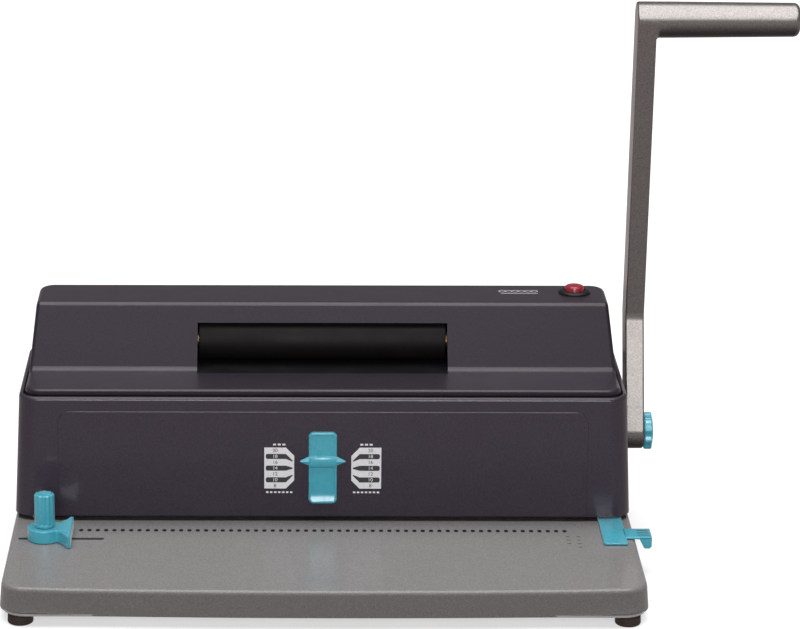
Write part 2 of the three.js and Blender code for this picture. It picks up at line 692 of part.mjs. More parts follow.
// a bar of half-width r with round ends, along three points with one bend
function bentBar([a, b, c], r) {
  const heading = (p, q) => Math.atan2(q[1] - p[1], q[0] - p[0]);
  const first = heading(a, b);
  const second = heading(b, c);
  const mitre = r / Math.cos((second - first) / 2);
  const middle = (first + second) / 2 - Math.PI / 2;
  const shape = new THREE.Shape();
  shape.moveTo(a[0] + r * Math.cos(first - Math.PI / 2), a[1] + r * Math.sin(first - Math.PI / 2));
  shape.lineTo(b[0] + mitre * Math.cos(middle), b[1] + mitre * Math.sin(middle));
  shape.absarc(c[0], c[1], r, second - Math.PI / 2, second + Math.PI / 2);
  shape.lineTo(b[0] - mitre * Math.cos(middle), b[1] - mitre * Math.sin(middle));
  shape.absarc(a[0], a[1], r, first + Math.PI / 2, first + 1.5 * Math.PI);
  return shape;
}

function arm() {
  const outline = bentBar([[SHAFT_Y, SHAFT_Z], [BEND_Y, BEND_Z], [GRIP_Y, GRIP_Z]], ARM_R);
  const bar = runAlongX(outline, ARM_X, ARM_X + ARM_THICK, 12);
  const shaftBore = rodX(SHAFT_Y, SHAFT_Z, ARM_X - 1, ARM_X + ARM_THICK + 1, BORE_R);
  const gripBore = rodX(GRIP_Y, GRIP_Z, ARM_X + 2, ARM_X + ARM_THICK + 1, 5.3);
  return cut(bar, shaftBore, gripBore);
}

// the grip's spigot sits in a blind bore at the top of the arm
function grip() {
  const start = ARM_X + ARM_THICK + GAP;
  const end = GRIP_END;
  const profile = [
    [0, ARM_X + 2.5], [5, ARM_X + 2.5], [5, start], [GRIP_R, start], [GRIP_R - 0.5, end - 6],
    [GRIP_R - 1.6, end - 2.4], [GRIP_R - 4, end], [0, end]];
  const points = profile.map(([r, x]) => new THREE.Vector2(r, x));
  return new THREE.LatheGeometry(points, 24).rotateZ(-Math.PI / 2).translate(0, GRIP_Y, GRIP_Z);
}

add("handle_arm", arm(), LEVER_PAINT);
add("handle_grip", grip(), LEVER_PAINT);
add("handle_knob",
  runAlongX(
    lobed(SHAFT_Y, SHAFT_Z, KNOB_R, 1.2, KNOB_LOBES, 6),
    ARM_X + ARM_THICK + GAP, ARM_X + ARM_THICK + GAP + KNOB_THICK),
  TEAL_PLASTIC);

// ---------------------------------------------------------------- depth selector

const KEEPER_FACE = HOUSING_FRONT + WALL + GAP;

// one slide: a rimmed plate with a finger scoop, a pointer band, a stem through the front
// and a keeper behind it
function depthSlider() {
  const back = HOUSING_FRONT - GAP;
  const plate = runAlongY(
    roundedRect(-SLIDE_HALF, SLIDE_HALF, SLIDE_BOTTOM, SLIDE_TOP, 3), SLIDE_FRONT, back, 4);
  const floor = SLIDE_FRONT + SCOOP_DEPTH;
  const front = SLIDE_FRONT - 1;
  const scoop = runAlongX(
    polygon([
      [front, SLIDE_BOTTOM + SLIDE_RIM], [SLIDE_FRONT, SLIDE_BOTTOM + SLIDE_RIM],
      [floor, SLIDE_BOTTOM + SLIDE_LIP], [floor, SLIDE_TOP - SLIDE_RIM], [front, SLIDE_TOP - SLIDE_RIM]]),
    -SLIDE_HALF + SLIDE_RIM, SLIDE_HALF - SLIDE_RIM);
  const band = runAlongY(
    polygon([
      [-POINTER_TIP, POINTER_Z + 0.5], [-SLIDE_HALF, POINTER_Z - BAND_HALF],
      [SLIDE_HALF, POINTER_Z - BAND_HALF], [POINTER_TIP, POINTER_Z + 0.5],
      [SLIDE_HALF, POINTER_Z + BAND_HALF], [-SLIDE_HALF, POINTER_Z + BAND_HALF]]),
    BAND_FRONT, floor + 0.2);
  const stem = block(
    -STEM_HALF, STEM_HALF, floor, KEEPER_FACE + 1, POINTER_Z - STEM_RISE, POINTER_Z + STEM_RISE);
  const keeper = block(
    -KEEPER_HALF, KEEPER_HALF, KEEPER_FACE, KEEPER_FACE + KEEPER_THICK,
    POINTER_Z - KEEPER_RISE, POINTER_Z + KEEPER_RISE);
  return joined(cut(plate, scoop), band, stem, keeper);
}

// the frame inside the front that the keeper runs in
function depthTrack() {
  const low = POINTER_Z - SLIDE_DOWN - KEEPER_RISE - 0.5;
  const high = POINTER_Z + SLIDE_UP + KEEPER_RISE + 0.5;
  const half = KEEPER_HALF + GAP;
  const rear = KEEPER_FACE + KEEPER_THICK + 1;
  return cut(
    block(-half - 3, half + 3, KEEPER_FACE, rear, low - 3, high + 3),
    block(-half, half, KEEPER_FACE - 1, rear + 1, low, high));
}

function scaleLabel(sign) {
  const chamfer = 8;
  const inner = sign * LABEL_INNER;
  const outer = sign * LABEL_OUTER;
  const notch = sign * (LABEL_INNER + chamfer);
  const points = [
    [outer, LABEL_BOTTOM], [notch, LABEL_BOTTOM], [inner, LABEL_BOTTOM + 5], [inner, LABEL_TOP - 5],
    [notch, LABEL_TOP], [outer, LABEL_TOP]];
  return runAlongY(
    polygon(sign > 0 ? points.reverse() : points), HOUSING_FRONT - GAP - 0.5, HOUSING_FRONT - GAP);
}

add("depth_track", depthTrack(), BLACK_PLASTIC);
add("depth_slider", depthSlider(), TEAL_PLASTIC);
add("depth_stop",
  block(-PAPER_STOP_HALF, PAPER_STOP_HALF, PLATE_REAR + 1, PLATE_REAR + 3, BED_TOP + 0.5, PAPER_STOP_TOP),
  STEEL);
add("scale_label_left", scaleLabel(-1), LABEL);
add("scale_label_right", scaleLabel(1), LABEL);

// ---------------------------------------------------------------- edge guide and side stop

function edgeGuide() {
  const z0 = BED_TOP + GAP;
  const fence = new THREE.Shape();
  fence.moveTo(GUIDE_X + 4, GUIDE_Y - 7);
  fence.quadraticCurveTo(FENCE_X - 6, GUIDE_Y - 6, FENCE_X - 1.5, GUIDE_Y - FENCE_HALF);
  fence.lineTo(FENCE_X, GUIDE_Y - FENCE_HALF);
  fence.lineTo(FENCE_X, GUIDE_Y + FENCE_HALF);
  fence.lineTo(FENCE_X - 1.5, GUIDE_Y + FENCE_HALF);
  fence.quadraticCurveTo(FENCE_X - 6, GUIDE_Y + 6, GUIDE_X + 4, GUIDE_Y + 7);
  const body = joined(
    raised(fence, z0, GUIDE_TOP), postZ(GUIDE_X, GUIDE_Y, z0, GUIDE_TOP, GUIDE_R, 28));
  return cut(body, postZ(GUIDE_X, GUIDE_Y, z0 - 1, GUIDE_TOP + 1, GUIDE_STUD_R + 0.6, 12));
}

function guideKnob() {
  const knob = raised(
    lobed(GUIDE_X, GUIDE_Y, GUIDE_KNOB_R, 0.9, GUIDE_KNOB_FLUTES, 4), GUIDE_TOP + GAP, GUIDE_KNOB_TOP);
  return joined(knob, postZ(GUIDE_X, GUIDE_Y, GUIDE_STUD_END, GUIDE_TOP + 2, GUIDE_STUD_R, 12));
}

const guideNut = () =>
  cut(
    block(GUIDE_X - 6, GUIDE_X + 6, GUIDE_Y - 5, GUIDE_Y + 5, 15, BED_TOP - SHEET - GAP),
    postZ(GUIDE_X, GUIDE_Y, 10, 25, GUIDE_STUD_R + 0.4, 12));

// a plate on the bed with an arm over the edge and a finger tab that hangs down
function sideStop() {
  const z0 = BED_TOP + GAP;
  const z1 = z0 + STOP_THICK;
  const plate = block(STOP_LEFT, STOP_RIGHT, STOP_FRONT, STOP_REAR, z0, z1);
  const reach = block(STOP_RIGHT - 1, STOP_END, REACH_FRONT, REACH_REAR, z0, z1);
  const tab = runAlongY(
    polygon([[TAB_START, z0 + 1], [TAB_SLOPE_END, TAB_BOTTOM], [STOP_END, TAB_BOTTOM], [STOP_END, z0 + 1]]),
    REACH_FRONT, REACH_REAR);
  return joined(plate, reach, tab);
}

add("edge_guide", edgeGuide(), TEAL_PLASTIC);
add("edge_guide_knob", guideKnob(), TEAL_PLASTIC);
add("edge_guide_nut", guideNut(), STEEL);
add("side_stop", sideStop(), TEAL_PLASTIC);

// ---------------------------------------------------------------- chip tray

function chipTray() {
  const outer = block(-TRAY_HALF, TRAY_HALF, TRAY_FRONT, rearY - SHEET + 0.5, TRAY_BOTTOM, TRAY_TOP);
  const panel = block(-TRAY_HALF - 2, TRAY_HALF + 2, rearY - SHEET, rearY, TRAY_BOTTOM, TRAY_TOP);
  const inside = block(
    -TRAY_HALF + TRAY_WALL, TRAY_HALF - TRAY_WALL, TRAY_FRONT + TRAY_WALL, rearY - SHEET - 1,
    TRAY_BOTTOM + 1.2, TRAY_TOP + 1);
  return cut(joined(outer, panel), inside);
}

add("chip_tray", chipTray(), BLACK_PLASTIC);

// ---------------------------------------------------------------- run button

add("switch_bezel",
  turned([
    [BUTTON_R + GAP, BEZEL_BOTTOM], [BEZEL_NECK_R, BEZEL_BOTTOM], [BEZEL_NECK_R, TOP_Z + GAP],
    [BEZEL_R, TOP_Z + GAP], [BEZEL_R - 0.8, TOP_Z + BEZEL_PROUD], [BUTTON_R + GAP, TOP_Z + BEZEL_PROUD],
    [BUTTON_R + GAP, BEZEL_BOTTOM]], BUTTON_X, BUTTON_Y, 28),
  BLACK_PLASTIC);
add("run_button",
  turned([
    [0, BUTTON_BOTTOM], [BUTTON_R, BUTTON_BOTTOM], [BUTTON_R, BUTTON_TOP - 1],
    [BUTTON_R - 1, BUTTON_TOP], [0, BUTTON_TOP]], BUTTON_X, BUTTON_Y, 24),
  RED_PLASTIC);
add("button_spring",
  coilSpring(BUTTON_X, BUTTON_Y, SWITCH_TOP + GAP, BUTTON_BOTTOM - GAP, 3.5, 0.5, 3), STEEL);
add("run_switch",
  block(BUTTON_X - 8, BUTTON_X + 8, BUTTON_Y - 6, BUTTON_Y + 6, SWITCH_BOTTOM, SWITCH_TOP), BLACK_PLASTIC);

// ---------------------------------------------------------------- coil roller and drive

// a tub behind the slanted face, with a floor that runs out level with the shelf
function rollerWell() {
  const low = WELL_FLOOR - WELL_WALL;
  const inside = ROLLER_Z + ROLLER_R + 2;
  const high = inside + WELL_WALL;
  const clear = slantWall + 0.6;
  const half = RECESS_HALF + 2.5;
  const tub = runAlongX(
    polygon([[coverFace(low) + clear, low], [RECESS_REAR + WELL_WALL, low],
      [RECESS_REAR + WELL_WALL, high], [coverFace(high) + clear, high]]),
    -half, half);
  const floor = block(
    -RECESS_HALF + GAP, RECESS_HALF - GAP, filletY + GAP, RECESS_REAR, low, WELL_FLOOR);
  const hollow = block(-RECESS_HALF, RECESS_HALF, filletY - 5, RECESS_REAR, WELL_FLOOR, inside);
  const bearings = rodX(ROLLER_Y, ROLLER_Z, -90, 90, ROLLER_BUSH_R + GAP);
  return cut(joined(tub, floor), hollow, bearings);
}

// the closed outline of a belt whose run lies offset outside two pulleys
function beltLine(offset) {
  const dy = MOTOR_Y - ROLLER_Y;
  const dz = MOTOR_Z - ROLLER_Z;
  const heading = Math.atan2(dz, dy);
  const spread = Math.acos((ROLLER_PULLEY_R - MOTOR_PULLEY_R) / Math.hypot(dy, dz));
  const path = new THREE.Shape();
  path.absarc(ROLLER_Y, ROLLER_Z, ROLLER_PULLEY_R + offset, heading + spread, heading - spread + 2 * Math.PI);
  path.absarc(MOTOR_Y, MOTOR_Z, MOTOR_PULLEY_R + offset, heading - spread, heading + spread);
  return path;
}

function belt() {
  const shape = beltLine(1.3);
  shape.holes.push(new THREE.Path(beltLine(GAP).getPoints(10).reverse()));
  return runAlongX(shape, PULLEY_X + 0.5, PULLEY_X + PULLEY_WIDTH - 0.5, 10);
}

add("roller_well", rollerWell(), BLACK_PLASTIC);
for (const [side, x0] of [["left", -RECESS_HALF - 3], ["right", RECESS_HALF - 0.5]]) {
  add(`roller_bush_${side}`,
    ringX(ROLLER_Y, ROLLER_Z, x0, x0 + ROLLER_BUSH, ROLLER_SHAFT_R + GAP, ROLLER_BUSH_R), BRONZE);
}
add("roller_sleeve",
  ringX(ROLLER_Y, ROLLER_Z, -ROLLER_HALF, ROLLER_HALF, ROLLER_SHAFT_R + GAP, ROLLER_R), RUBBER);
add("roller_shaft", rodX(ROLLER_Y, ROLLER_Z, -82, PULLEY_X + PULLEY_WIDTH + 1, ROLLER_SHAFT_R), STEEL);
add("roller_pulley",
  ringX(ROLLER_Y, ROLLER_Z, PULLEY_X, PULLEY_X + PULLEY_WIDTH, ROLLER_SHAFT_R + GAP, ROLLER_PULLEY_R),
  BLACK_PLASTIC);
add("drive_belt", belt(), RUBBER);
add("motor_pulley",
  joined(
    rodX(MOTOR_Y, MOTOR_Z, PULLEY_X, PULLEY_X + PULLEY_WIDTH, MOTOR_PULLEY_R),
    rodX(MOTOR_Y, MOTOR_Z, PULLEY_X - 2.6, PULLEY_X + 1, MOTOR_SHAFT_R)),
  BLACK_PLASTIC);
add("gear_motor",
  joined(
    rodX(MOTOR_Y, MOTOR_Z, MOTOR_START, GEARBOX_START + 2, MOTOR_R),
    block(GEARBOX_START, PULLEY_X - 3, MOTOR_Y - MOTOR_R, MOTOR_Y + MOTOR_R,
      MOTOR_Z - MOTOR_R, MOTOR_Z + MOTOR_R)),
  STEEL);
add("motor_bracket",
  runAlongX(
    polygon([
      [BRACKET_REAR - BRACKET_THICK, BRACKET_LEVEL - BRACKET_THICK],
      [BRACKET_REAR - BRACKET_THICK, housingFoot], [BRACKET_REAR, housingFoot],
      [BRACKET_REAR, BRACKET_LEVEL], [BRACKET_FRONT, BRACKET_LEVEL],
      [BRACKET_FRONT, BRACKET_LEVEL - BRACKET_THICK]]),
    BRACKET_LEFT, BRACKET_RIGHT),
  STEEL);

function powerBoard() {
  const top = BOARD_Z + BOARD_THICK;
  const board = block(BOARD_LEFT, BOARD_RIGHT, BOARD_FRONT, BOARD_REAR, BOARD_Z, top);
  const transformer = block(
    BOARD_LEFT + 4, BOARD_LEFT + 28, BOARD_FRONT + 4, BOARD_REAR - 4, top - 0.5, top + 18.4);
  const capacitor = postZ(BOARD_RIGHT - 12, BOARD_FRONT + 14, top - 0.5, top + 16.4, 6, 16);
  const legs = [BOARD_LEFT + 4, BOARD_RIGHT - 4].flatMap((x) =>
    [BOARD_FRONT + 4, BOARD_REAR - 4].map((y) => postZ(x, y, housingFoot, BOARD_Z + 0.5, 2, 8)));
  return joined(board, transformer, capacitor, ...legs);
}

add("power_board", powerBoard(), BOARD);

// ---------------------------------------------------------------- the whole machine

const part = new THREE.Group();
machine.position.x = -(GRIP_END - sideX) / 2;
part.add(machine);

export default part;
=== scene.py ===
"""The looks of a desktop coil punch and binder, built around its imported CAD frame.

Shapes are written in millimetres about the middle of the base, with +X to the operator's
right, +Y to the rear and +Z up. build() turns them into metres in the frame's own place.
"""

import json
import math

import bmesh
import bpy
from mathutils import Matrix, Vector
from mathutils.geometry import tessellate_polygon


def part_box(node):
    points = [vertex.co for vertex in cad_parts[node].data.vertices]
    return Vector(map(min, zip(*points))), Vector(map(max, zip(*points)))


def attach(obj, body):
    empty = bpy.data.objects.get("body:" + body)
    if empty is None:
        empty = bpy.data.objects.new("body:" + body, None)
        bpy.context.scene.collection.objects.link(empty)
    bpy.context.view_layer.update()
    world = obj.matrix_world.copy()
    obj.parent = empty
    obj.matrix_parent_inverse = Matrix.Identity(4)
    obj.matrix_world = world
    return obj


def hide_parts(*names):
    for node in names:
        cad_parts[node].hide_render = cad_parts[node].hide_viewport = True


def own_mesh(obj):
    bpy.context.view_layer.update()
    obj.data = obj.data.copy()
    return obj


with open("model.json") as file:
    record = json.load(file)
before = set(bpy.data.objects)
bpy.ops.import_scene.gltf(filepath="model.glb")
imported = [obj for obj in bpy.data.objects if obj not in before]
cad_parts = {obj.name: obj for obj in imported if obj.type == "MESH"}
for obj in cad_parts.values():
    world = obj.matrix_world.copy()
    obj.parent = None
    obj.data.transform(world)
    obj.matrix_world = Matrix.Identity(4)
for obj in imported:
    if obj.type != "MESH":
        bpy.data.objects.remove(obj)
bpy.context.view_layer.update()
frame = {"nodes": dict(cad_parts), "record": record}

MM = 0.001
pan_low, pan_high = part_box("base_pan")
MIDDLE_X = (pan_low.x + pan_high.x) / 2


def box_mm(node):
    """A CAD node's box as (x0, x1, y0, y1, z0, z1), in millimetres about the base's middle."""
    low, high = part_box(node)
    return (
        (low.x - MIDDLE_X) / MM, (high.x - MIDDLE_X) / MM,
        low.y / MM, high.y / MM, low.z / MM, high.z / MM)


def centre_mm(node):
    x0, x1, y0, y1, z0, z1 = box_mm(node)
    return (x0 + x1) / 2, (y0 + y1) / 2, (z0 + z1) / 2


def joint_place(name):
    """A hinge's point, in millimetres about the base's middle."""
    for joint in frame["record"]["behaviour"]["joints"]:
        if joint["name"] == name:
            x, y, z = joint["pos_m"]
            return (x - MIDDLE_X) / MM, y / MM, z / MM
    raise ValueError(name)


# ---------------------------------------------------------------- materials

def mixed(tree, factor, low, high):
    node = tree.nodes.new("ShaderNodeMix")
    node.data_type = "RGBA"
    node.inputs["A"].default_value = (*low, 1)
    node.inputs["B"].default_value = (*high, 1)
    tree.links.new(factor, node.inputs["Factor"])
    return node.outputs["Result"]


def noise(tree, size_mm, detail=2.0, stretch=(1, 1, 1)):
    """Noise whose features are about size_mm across, in the frame's own space."""
    place = tree.nodes.new("ShaderNodeTexCoord")
    mapping = tree.nodes.new("ShaderNodeMapping")
    mapping.inputs["Scale"].default_value = stretch
    texture = tree.nodes.new("ShaderNodeTexNoise")
    texture.inputs["Scale"].default_value = 1 / (size_mm * MM)
    texture.inputs["Detail"].default_value = detail
    tree.links.new(place.outputs["Object"], mapping.inputs["Vector"])
    tree.links.new(mapping.outputs["Vector"], texture.inputs["Vector"])
    return texture.outputs["Fac"]


def spread(tree, value, low, high, out_low=0.0, out_high=1.0):
    node = tree.nodes.new("ShaderNodeMapRange")
    node.inputs["From Min"].default_value = low
    node.inputs["From Max"].default_value = high
    node.inputs["To Min"].default_value = out_low
    node.inputs["To Max"].default_value = out_high
    tree.links.new(value, node.inputs["Value"])
    return node.outputs["Result"]


def surface(name, dark, light, grain, contrast=0.2, roughness=(0.35, 0.45), metallic=0.0,
            coat=0.0, bump=0.02, bump_size=None, stretch=(1, 1, 1), specular=0.5, glow=0.0,
            sheen=0.0):
    """A finish with a fine grain of two tones, uneven gloss and a shallow surface texture.

    grain and bump_size are feature sizes and bump a height, all in millimetres.
    """
    material = bpy.data.materials.new(name)
    material.use_nodes = True
    tree = material.node_tree
    shader = tree.nodes["Principled BSDF"]
    fine = spread(tree, noise(tree, grain, 3.0, stretch), 0.5 - contrast, 0.5 + contrast)
    colour = mixed(tree, fine, dark, light)
    tree.links.new(colour, shader.inputs["Base Color"])
    cloudy = noise(tree, 22.0, 4.0)
    gloss = spread(tree, cloudy, 0.3, 0.7, *roughness)
    tree.links.new(gloss, shader.inputs["Roughness"])
    shader.inputs["Metallic"].default_value = metallic
    shader.inputs["Specular IOR Level"].default_value = specular
    shader.inputs["Coat Weight"].default_value = coat
    shader.inputs["Coat Roughness"].default_value = 0.12
    shader.inputs["Sheen Weight"].default_value = sheen
    shader.inputs["Sheen Roughness"].default_value = 0.3
    if glow:
        tree.links.new(colour, shader.inputs["Emission Color"])
        shader.inputs["Emission Strength"].default_value = glow
    texture = tree.nodes.new("ShaderNodeBump")
    texture.inputs["Distance"].default_value = bump * MM
    texture.inputs["Strength"].default_value = 1.0
    tree.links.new(noise(tree, bump_size or grain, 2.0, stretch), texture.inputs["Height"])
    tree.links.new(texture.outputs["Normal"], shader.inputs["Normal"])
    return material


BRUSHED = (0.05, 1, 1)

MATERIALS = {
    "housing_paint": surface(
        "housing_paint", (0.022, 0.0160, 0.0245), (0.043, 0.033, 0.049), 0.8, 0.3,
        (0.36, 0.44), 0.2, 0.22, 0.006, 1.6, specular=0.3),
    "base_paint": surface(
        "base_paint", (0.158, 0.152, 0.149), (0.320, 0.309, 0.304), 0.75, 0.3,
        (0.38, 0.48), 0.05, 0.35, 0.006, 0.7, specular=0.2),
    "lever_paint": surface(
        "lever_paint", (0.13, 0.12, 0.115), (0.24, 0.225, 0.216), 0.7, 0.22,
        (0.28, 0.34), 0.9, 0.0, 0.012, 0.7),
    "steel": surface(
        "steel", (0.40, 0.40, 0.41), (0.58, 0.58, 0.59), 0.5, 0.3,
        (0.24, 0.40), 1.0, 0.0, 0.006, 0.4, BRUSHED),
    "bronze": surface(
        "bronze", (0.42, 0.27, 0.11), (0.58, 0.40, 0.18), 0.5, 0.25, (0.35, 0.5), 1.0),
    "teal_plastic": surface(
        "teal_plastic", (0.040, 0.285, 0.37), (0.055, 0.335, 0.43), 3.0, 0.3,
        (0.24, 0.34), 0.0, 0.2, 0.004, 0.6, sheen=0.3),
    "black_plastic": surface(
        "black_plastic", (0.004, 0.004, 0.005), (0.009, 0.009, 0.010), 1.0, 0.3,
        (0.32, 0.46), 0.0, 0.0, 0.01, 0.5, specular=0.25),
    "red_plastic": surface(
        "red_plastic", (0.20, 0.006, 0.014), (0.29, 0.010, 0.022), 4.0, 0.3,
        (0.18, 0.26), 0.0, 0.3, 0.004, 0.6),
    "rubber": surface(
        "rubber", (0.003, 0.0026, 0.0024), (0.007, 0.006, 0.0055), 0.8, 0.25,
        (0.5, 0.65), 0.0, 0.0, 0.03, 0.5, specular=0.15),
    "foot_rubber": surface(
        "foot_rubber", (0.020, 0.013, 0.010), (0.036, 0.025, 0.020), 0.8, 0.25,
        (0.5, 0.65), 0.0, 0.0, 0.03, 0.5, specular=0.3),
    "label_print": surface(
        "label_print", (0.56, 0.56, 0.58), (0.66, 0.66, 0.68), 2.0, 0.3, (0.5, 0.6)),
    "circuit_board": surface(
        "circuit_board", (0.02, 0.10, 0.045), (0.035, 0.16, 0.07), 1.2, 0.2, (0.35, 0.5)),
    "mark_print": surface(
        "mark_print", (0.004, 0.004, 0.004), (0.008, 0.008, 0.008), 0.6, 0.3, (0.6, 0.7),
        specular=0.2),
    "dark_print": surface(
        "dark_print", (0.018, 0.017, 0.018), (0.03, 0.028, 0.03), 0.6, 0.3, (0.6, 0.7)),
}

SLOT_OF = {row["node"]: row["material_slot"] for row in frame["record"]["subparts"]}


# ---------------------------------------------------------------- making meshes

def build(name, points, faces, slot, body, replaces=(), material=None, smooth=38):
    """A finished piece from points in millimetres: welded, shaded, and riding on its body."""
    mesh = bpy.data.meshes.new(name)
    mesh.from_pydata([(x * MM + MIDDLE_X, y * MM, z * MM) for x, y, z in points], [], faces)
    tidy = bmesh.new()
    tidy.from_mesh(mesh)
    bmesh.ops.remove_doubles(tidy, verts=tidy.verts, dist=0.002 * MM)
    bmesh.ops.recalc_face_normals(tidy, faces=tidy.faces)
    tidy.to_mesh(mesh)
    tidy.free()
    thing = bpy.data.objects.new(name, mesh)
    bpy.context.collection.objects.link(thing)
    mesh.materials.append(material or MATERIALS[slot])
    shade(mesh, smooth)
    if body:
        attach(thing, body)
    if replaces:
        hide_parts(*replaces)
    return thing


def shade(mesh, angle):
    mesh.shade_smooth()
    mesh.set_sharp_from_angle(angle=math.radians(angle))


def even_normals(thing):
    """Flat faces stay flat beside their narrow rounded edges."""
    weighted = thing.modifiers.new("even_normals", "WEIGHTED_NORMAL")
    weighted.keep_sharp = True
    return thing


def bake(thing, smooth=38):
    """Applies the modifiers."""
    graph = bpy.context.evaluated_depsgraph_get()
    graph.update()
    mesh = bpy.data.meshes.new_from_object(thing.evaluated_get(graph))
    thing.modifiers.clear()
    thing.data = mesh
    shade(mesh, smooth)
    return thing


def carve(thing, *tools, operation="DIFFERENCE", smooth=38):
    """Cuts the tools out of the thing, and removes them."""
    for tool in tools:
        step = thing.modifiers.new("carve", "BOOLEAN")
        step.operation = operation
        step.solver = "EXACT"
        step.object = tool
    bake(thing, smooth)
    for tool in tools:
        bpy.data.objects.remove(tool)
    return thing


def round_edges(thing, width, segments=3, angle=25):
    bevel = thing.modifiers.new("round_edges", "BEVEL")
    bevel.width = width * MM
    bevel.segments = segments
    bevel.limit_method = "ANGLE"
    bevel.angle_limit = math.radians(angle)
    bevel.use_clamp_overlap = False
    return bake(thing)


def arc(cx, cy, r, start, end, steps=8):
    """Points on an arc, from start to end in degrees."""
    return [
        (cx + r * math.cos(math.radians(start + (end - start) * i / steps)),
         cy + r * math.sin(math.radians(start + (end - start) * i / steps)))
        for i in range(steps + 1)]


def rounded(x0, x1, y0, y1, r, steps=8):
    """A rectangle with round corners; r is one radius, or four from the low-low corner on."""
    a, b, c, d = r if isinstance(r, tuple) else (r, r, r, r)
    return [
        *arc(x0 + a, y0 + a, a, 180, 270, steps), *arc(x1 - b, y0 + b, b, 270, 360, steps),
        *arc(x1 - c, y1 - c, c, 0, 90, steps), *arc(x0 + d, y1 - d, d, 90, 180, steps)]


def circle(cx, cy, r, steps=32):
    return arc(cx, cy, r, 0, 360, steps)[:-1]


def moved_in(loop, depth):
    """A counter-clockwise loop moved in by depth, mitred at its corners."""
    result = []
    for i, here in enumerate(loop):
        before = loop[i - 1]
        after = loop[(i + 1) % len(loop)]
        first = Vector((here[0] - before[0], here[1] - before[1])).normalized()
        second = Vector((after[0] - here[0], after[1] - here[1])).normalized()
        inward = Vector((-first.y - second.y, first.x + second.x))
        if inward.length < 1e-9:
            inward = Vector((-first.y, first.x))
        inward.normalize()
        reach = depth / max(0.3, inward.dot(Vector((-first.y, first.x))))
        result.append((here[0] + inward.x * reach, here[1] + inward.y * reach))
    return result


AXES = {
    "z": lambda a, b, c: (a, b, c),
    "y": lambda a, b, c: (a, c, b),
    "x": lambda a, b, c: (c, a, b),
}


def slab_mesh(outline, low, high, edge=0.6, axis="z", holes=(), steps=3, low_edge=None):
    """Points and faces of a plate between low and high along axis, with rounded edges."""
    low_edge = edge if low_edge is None else low_edge
    to_space = AXES[axis]
    levels = []
    for i in range(steps + 1):
        turn = math.pi / 2 * i / steps
        levels.append((low_edge * (1 - math.sin(turn)), low + low_edge * (1 - math.cos(turn))))
    for i in range(steps + 1):
        turn = math.pi / 2 * i / steps
        levels.append((edge * (1 - math.cos(turn)), high - edge * (1 - math.sin(turn))))
    points = []
    faces = []
    rims = {0: [], len(levels) - 1: []}
    for loop in [outline, *[list(reversed(hole)) for hole in holes]]:
        count = len(loop)
        first = len(points)
        for k, (inset, height) in enumerate(levels):
            ring = moved_in(loop, inset) if inset > 1e-6 else loop
            if k in rims:
                rims[k].append([(p, len(points) + i) for i, p in enumerate(ring)])
            points += [to_space(a, b, height) for a, b in ring]
        for k in range(len(levels) - 1):
            for i in range(count):
                j = (i + 1) % count
                at = first + k * count
                faces.append((at + i, at + j, at + count + j, at + count + i))
    for k, loops in rims.items():
        if len(loops) == 1:
            faces.append([index for _, index in loops[0]])
            continue
        flat = [[Vector((*p, 0)) for p, _ in loop] for loop in loops]
        indices = [index for loop in loops for _, index in loop]
        faces += [[indices[i] for i in tri] for tri in tessellate_polygon(flat)]
    return points, faces


def slab(name, outline, low, high, slot, body, edge=0.6, axis="z", holes=(), replaces=(),
         steps=3, low_edge=None, material=None):
    points, faces = slab_mesh(outline, low, high, edge, axis, holes, steps, low_edge)
    return even_normals(build(name, points, faces, slot, body, replaces, material))


def tool_box(x0, x1, y0, y1, z0, z1):
    outline = [(x0, y0), (x1, y0), (x1, y1), (x0, y1)]
    points, faces = slab_mesh(outline, z0, z1, 0.0, steps=1)
    return build("tool", points, faces, "steel", None)


def tool_slab(outline, low, high, axis="z"):
    points, faces = slab_mesh(outline, low, high, 0.0, axis, steps=1)
    return build("tool", points, faces, "steel", None)


def turned_mesh(profile, centre, axis="z", steps=48):
    """Points and faces of a profile of (radius, height) turned about an axis."""
    to_space = AXES[axis]
    ca, cb = centre
    points = []
    faces = []
    rings = []
    for r, height in profile:
        if r < 1e-6:
            rings.append([len(points)])
            points.append(to_space(ca, cb, height))
            continue
        rings.append(list(range(len(points), len(points) + steps)))
        points += [to_space(a, b, height) for a, b in circle(ca, cb, r, steps)]
    for low, high in zip(rings, rings[1:]):
        for i in range(steps):
            j = (i + 1) % steps
            face = [low[i % len(low)], low[j % len(low)], high[j % len(high)], high[i % len(high)]]
            face = list(dict.fromkeys(face))
            if len(face) > 2:
                faces.append(face)
    return points, faces


def turned(name, profile, centre, slot, body, axis="z", replaces=(), steps=48, material=None):
    points, faces = turned_mesh(profile, centre, axis, steps)
    return build(name, points, faces, slot, body, replaces, material, smooth=32)


def joined(name, parts, slot, body, replaces=(), material=None):
    """One piece from several (points, faces) pairs."""
    points = []
    faces = []
    for some_points, some_faces in parts:
        first = len(points)
        points += some_points
        faces += [[first + i for i in face] for face in some_faces]
    return build(name, points, faces, slot, body, replaces, material)


def drawn_in(thing, low_z, high_z, scale):
    """Draws the sides in towards the middle with height, as a drafted casing has them."""
    for vertex in thing.data.vertices:
        t = (vertex.co.z / MM - low_z) / (high_z - low_z)
        vertex.co.x = MIDDLE_X + (vertex.co.x - MIDDLE_X) * (1 + (scale - 1) * t)
    return thing


# ---------------------------------------------------------------- base

PAN = box_mm("base_pan")
BED = PAN[5]
PUNCH_PITCH = 5.0
MARK_COUNT = 59
MARK_Y = -12.0


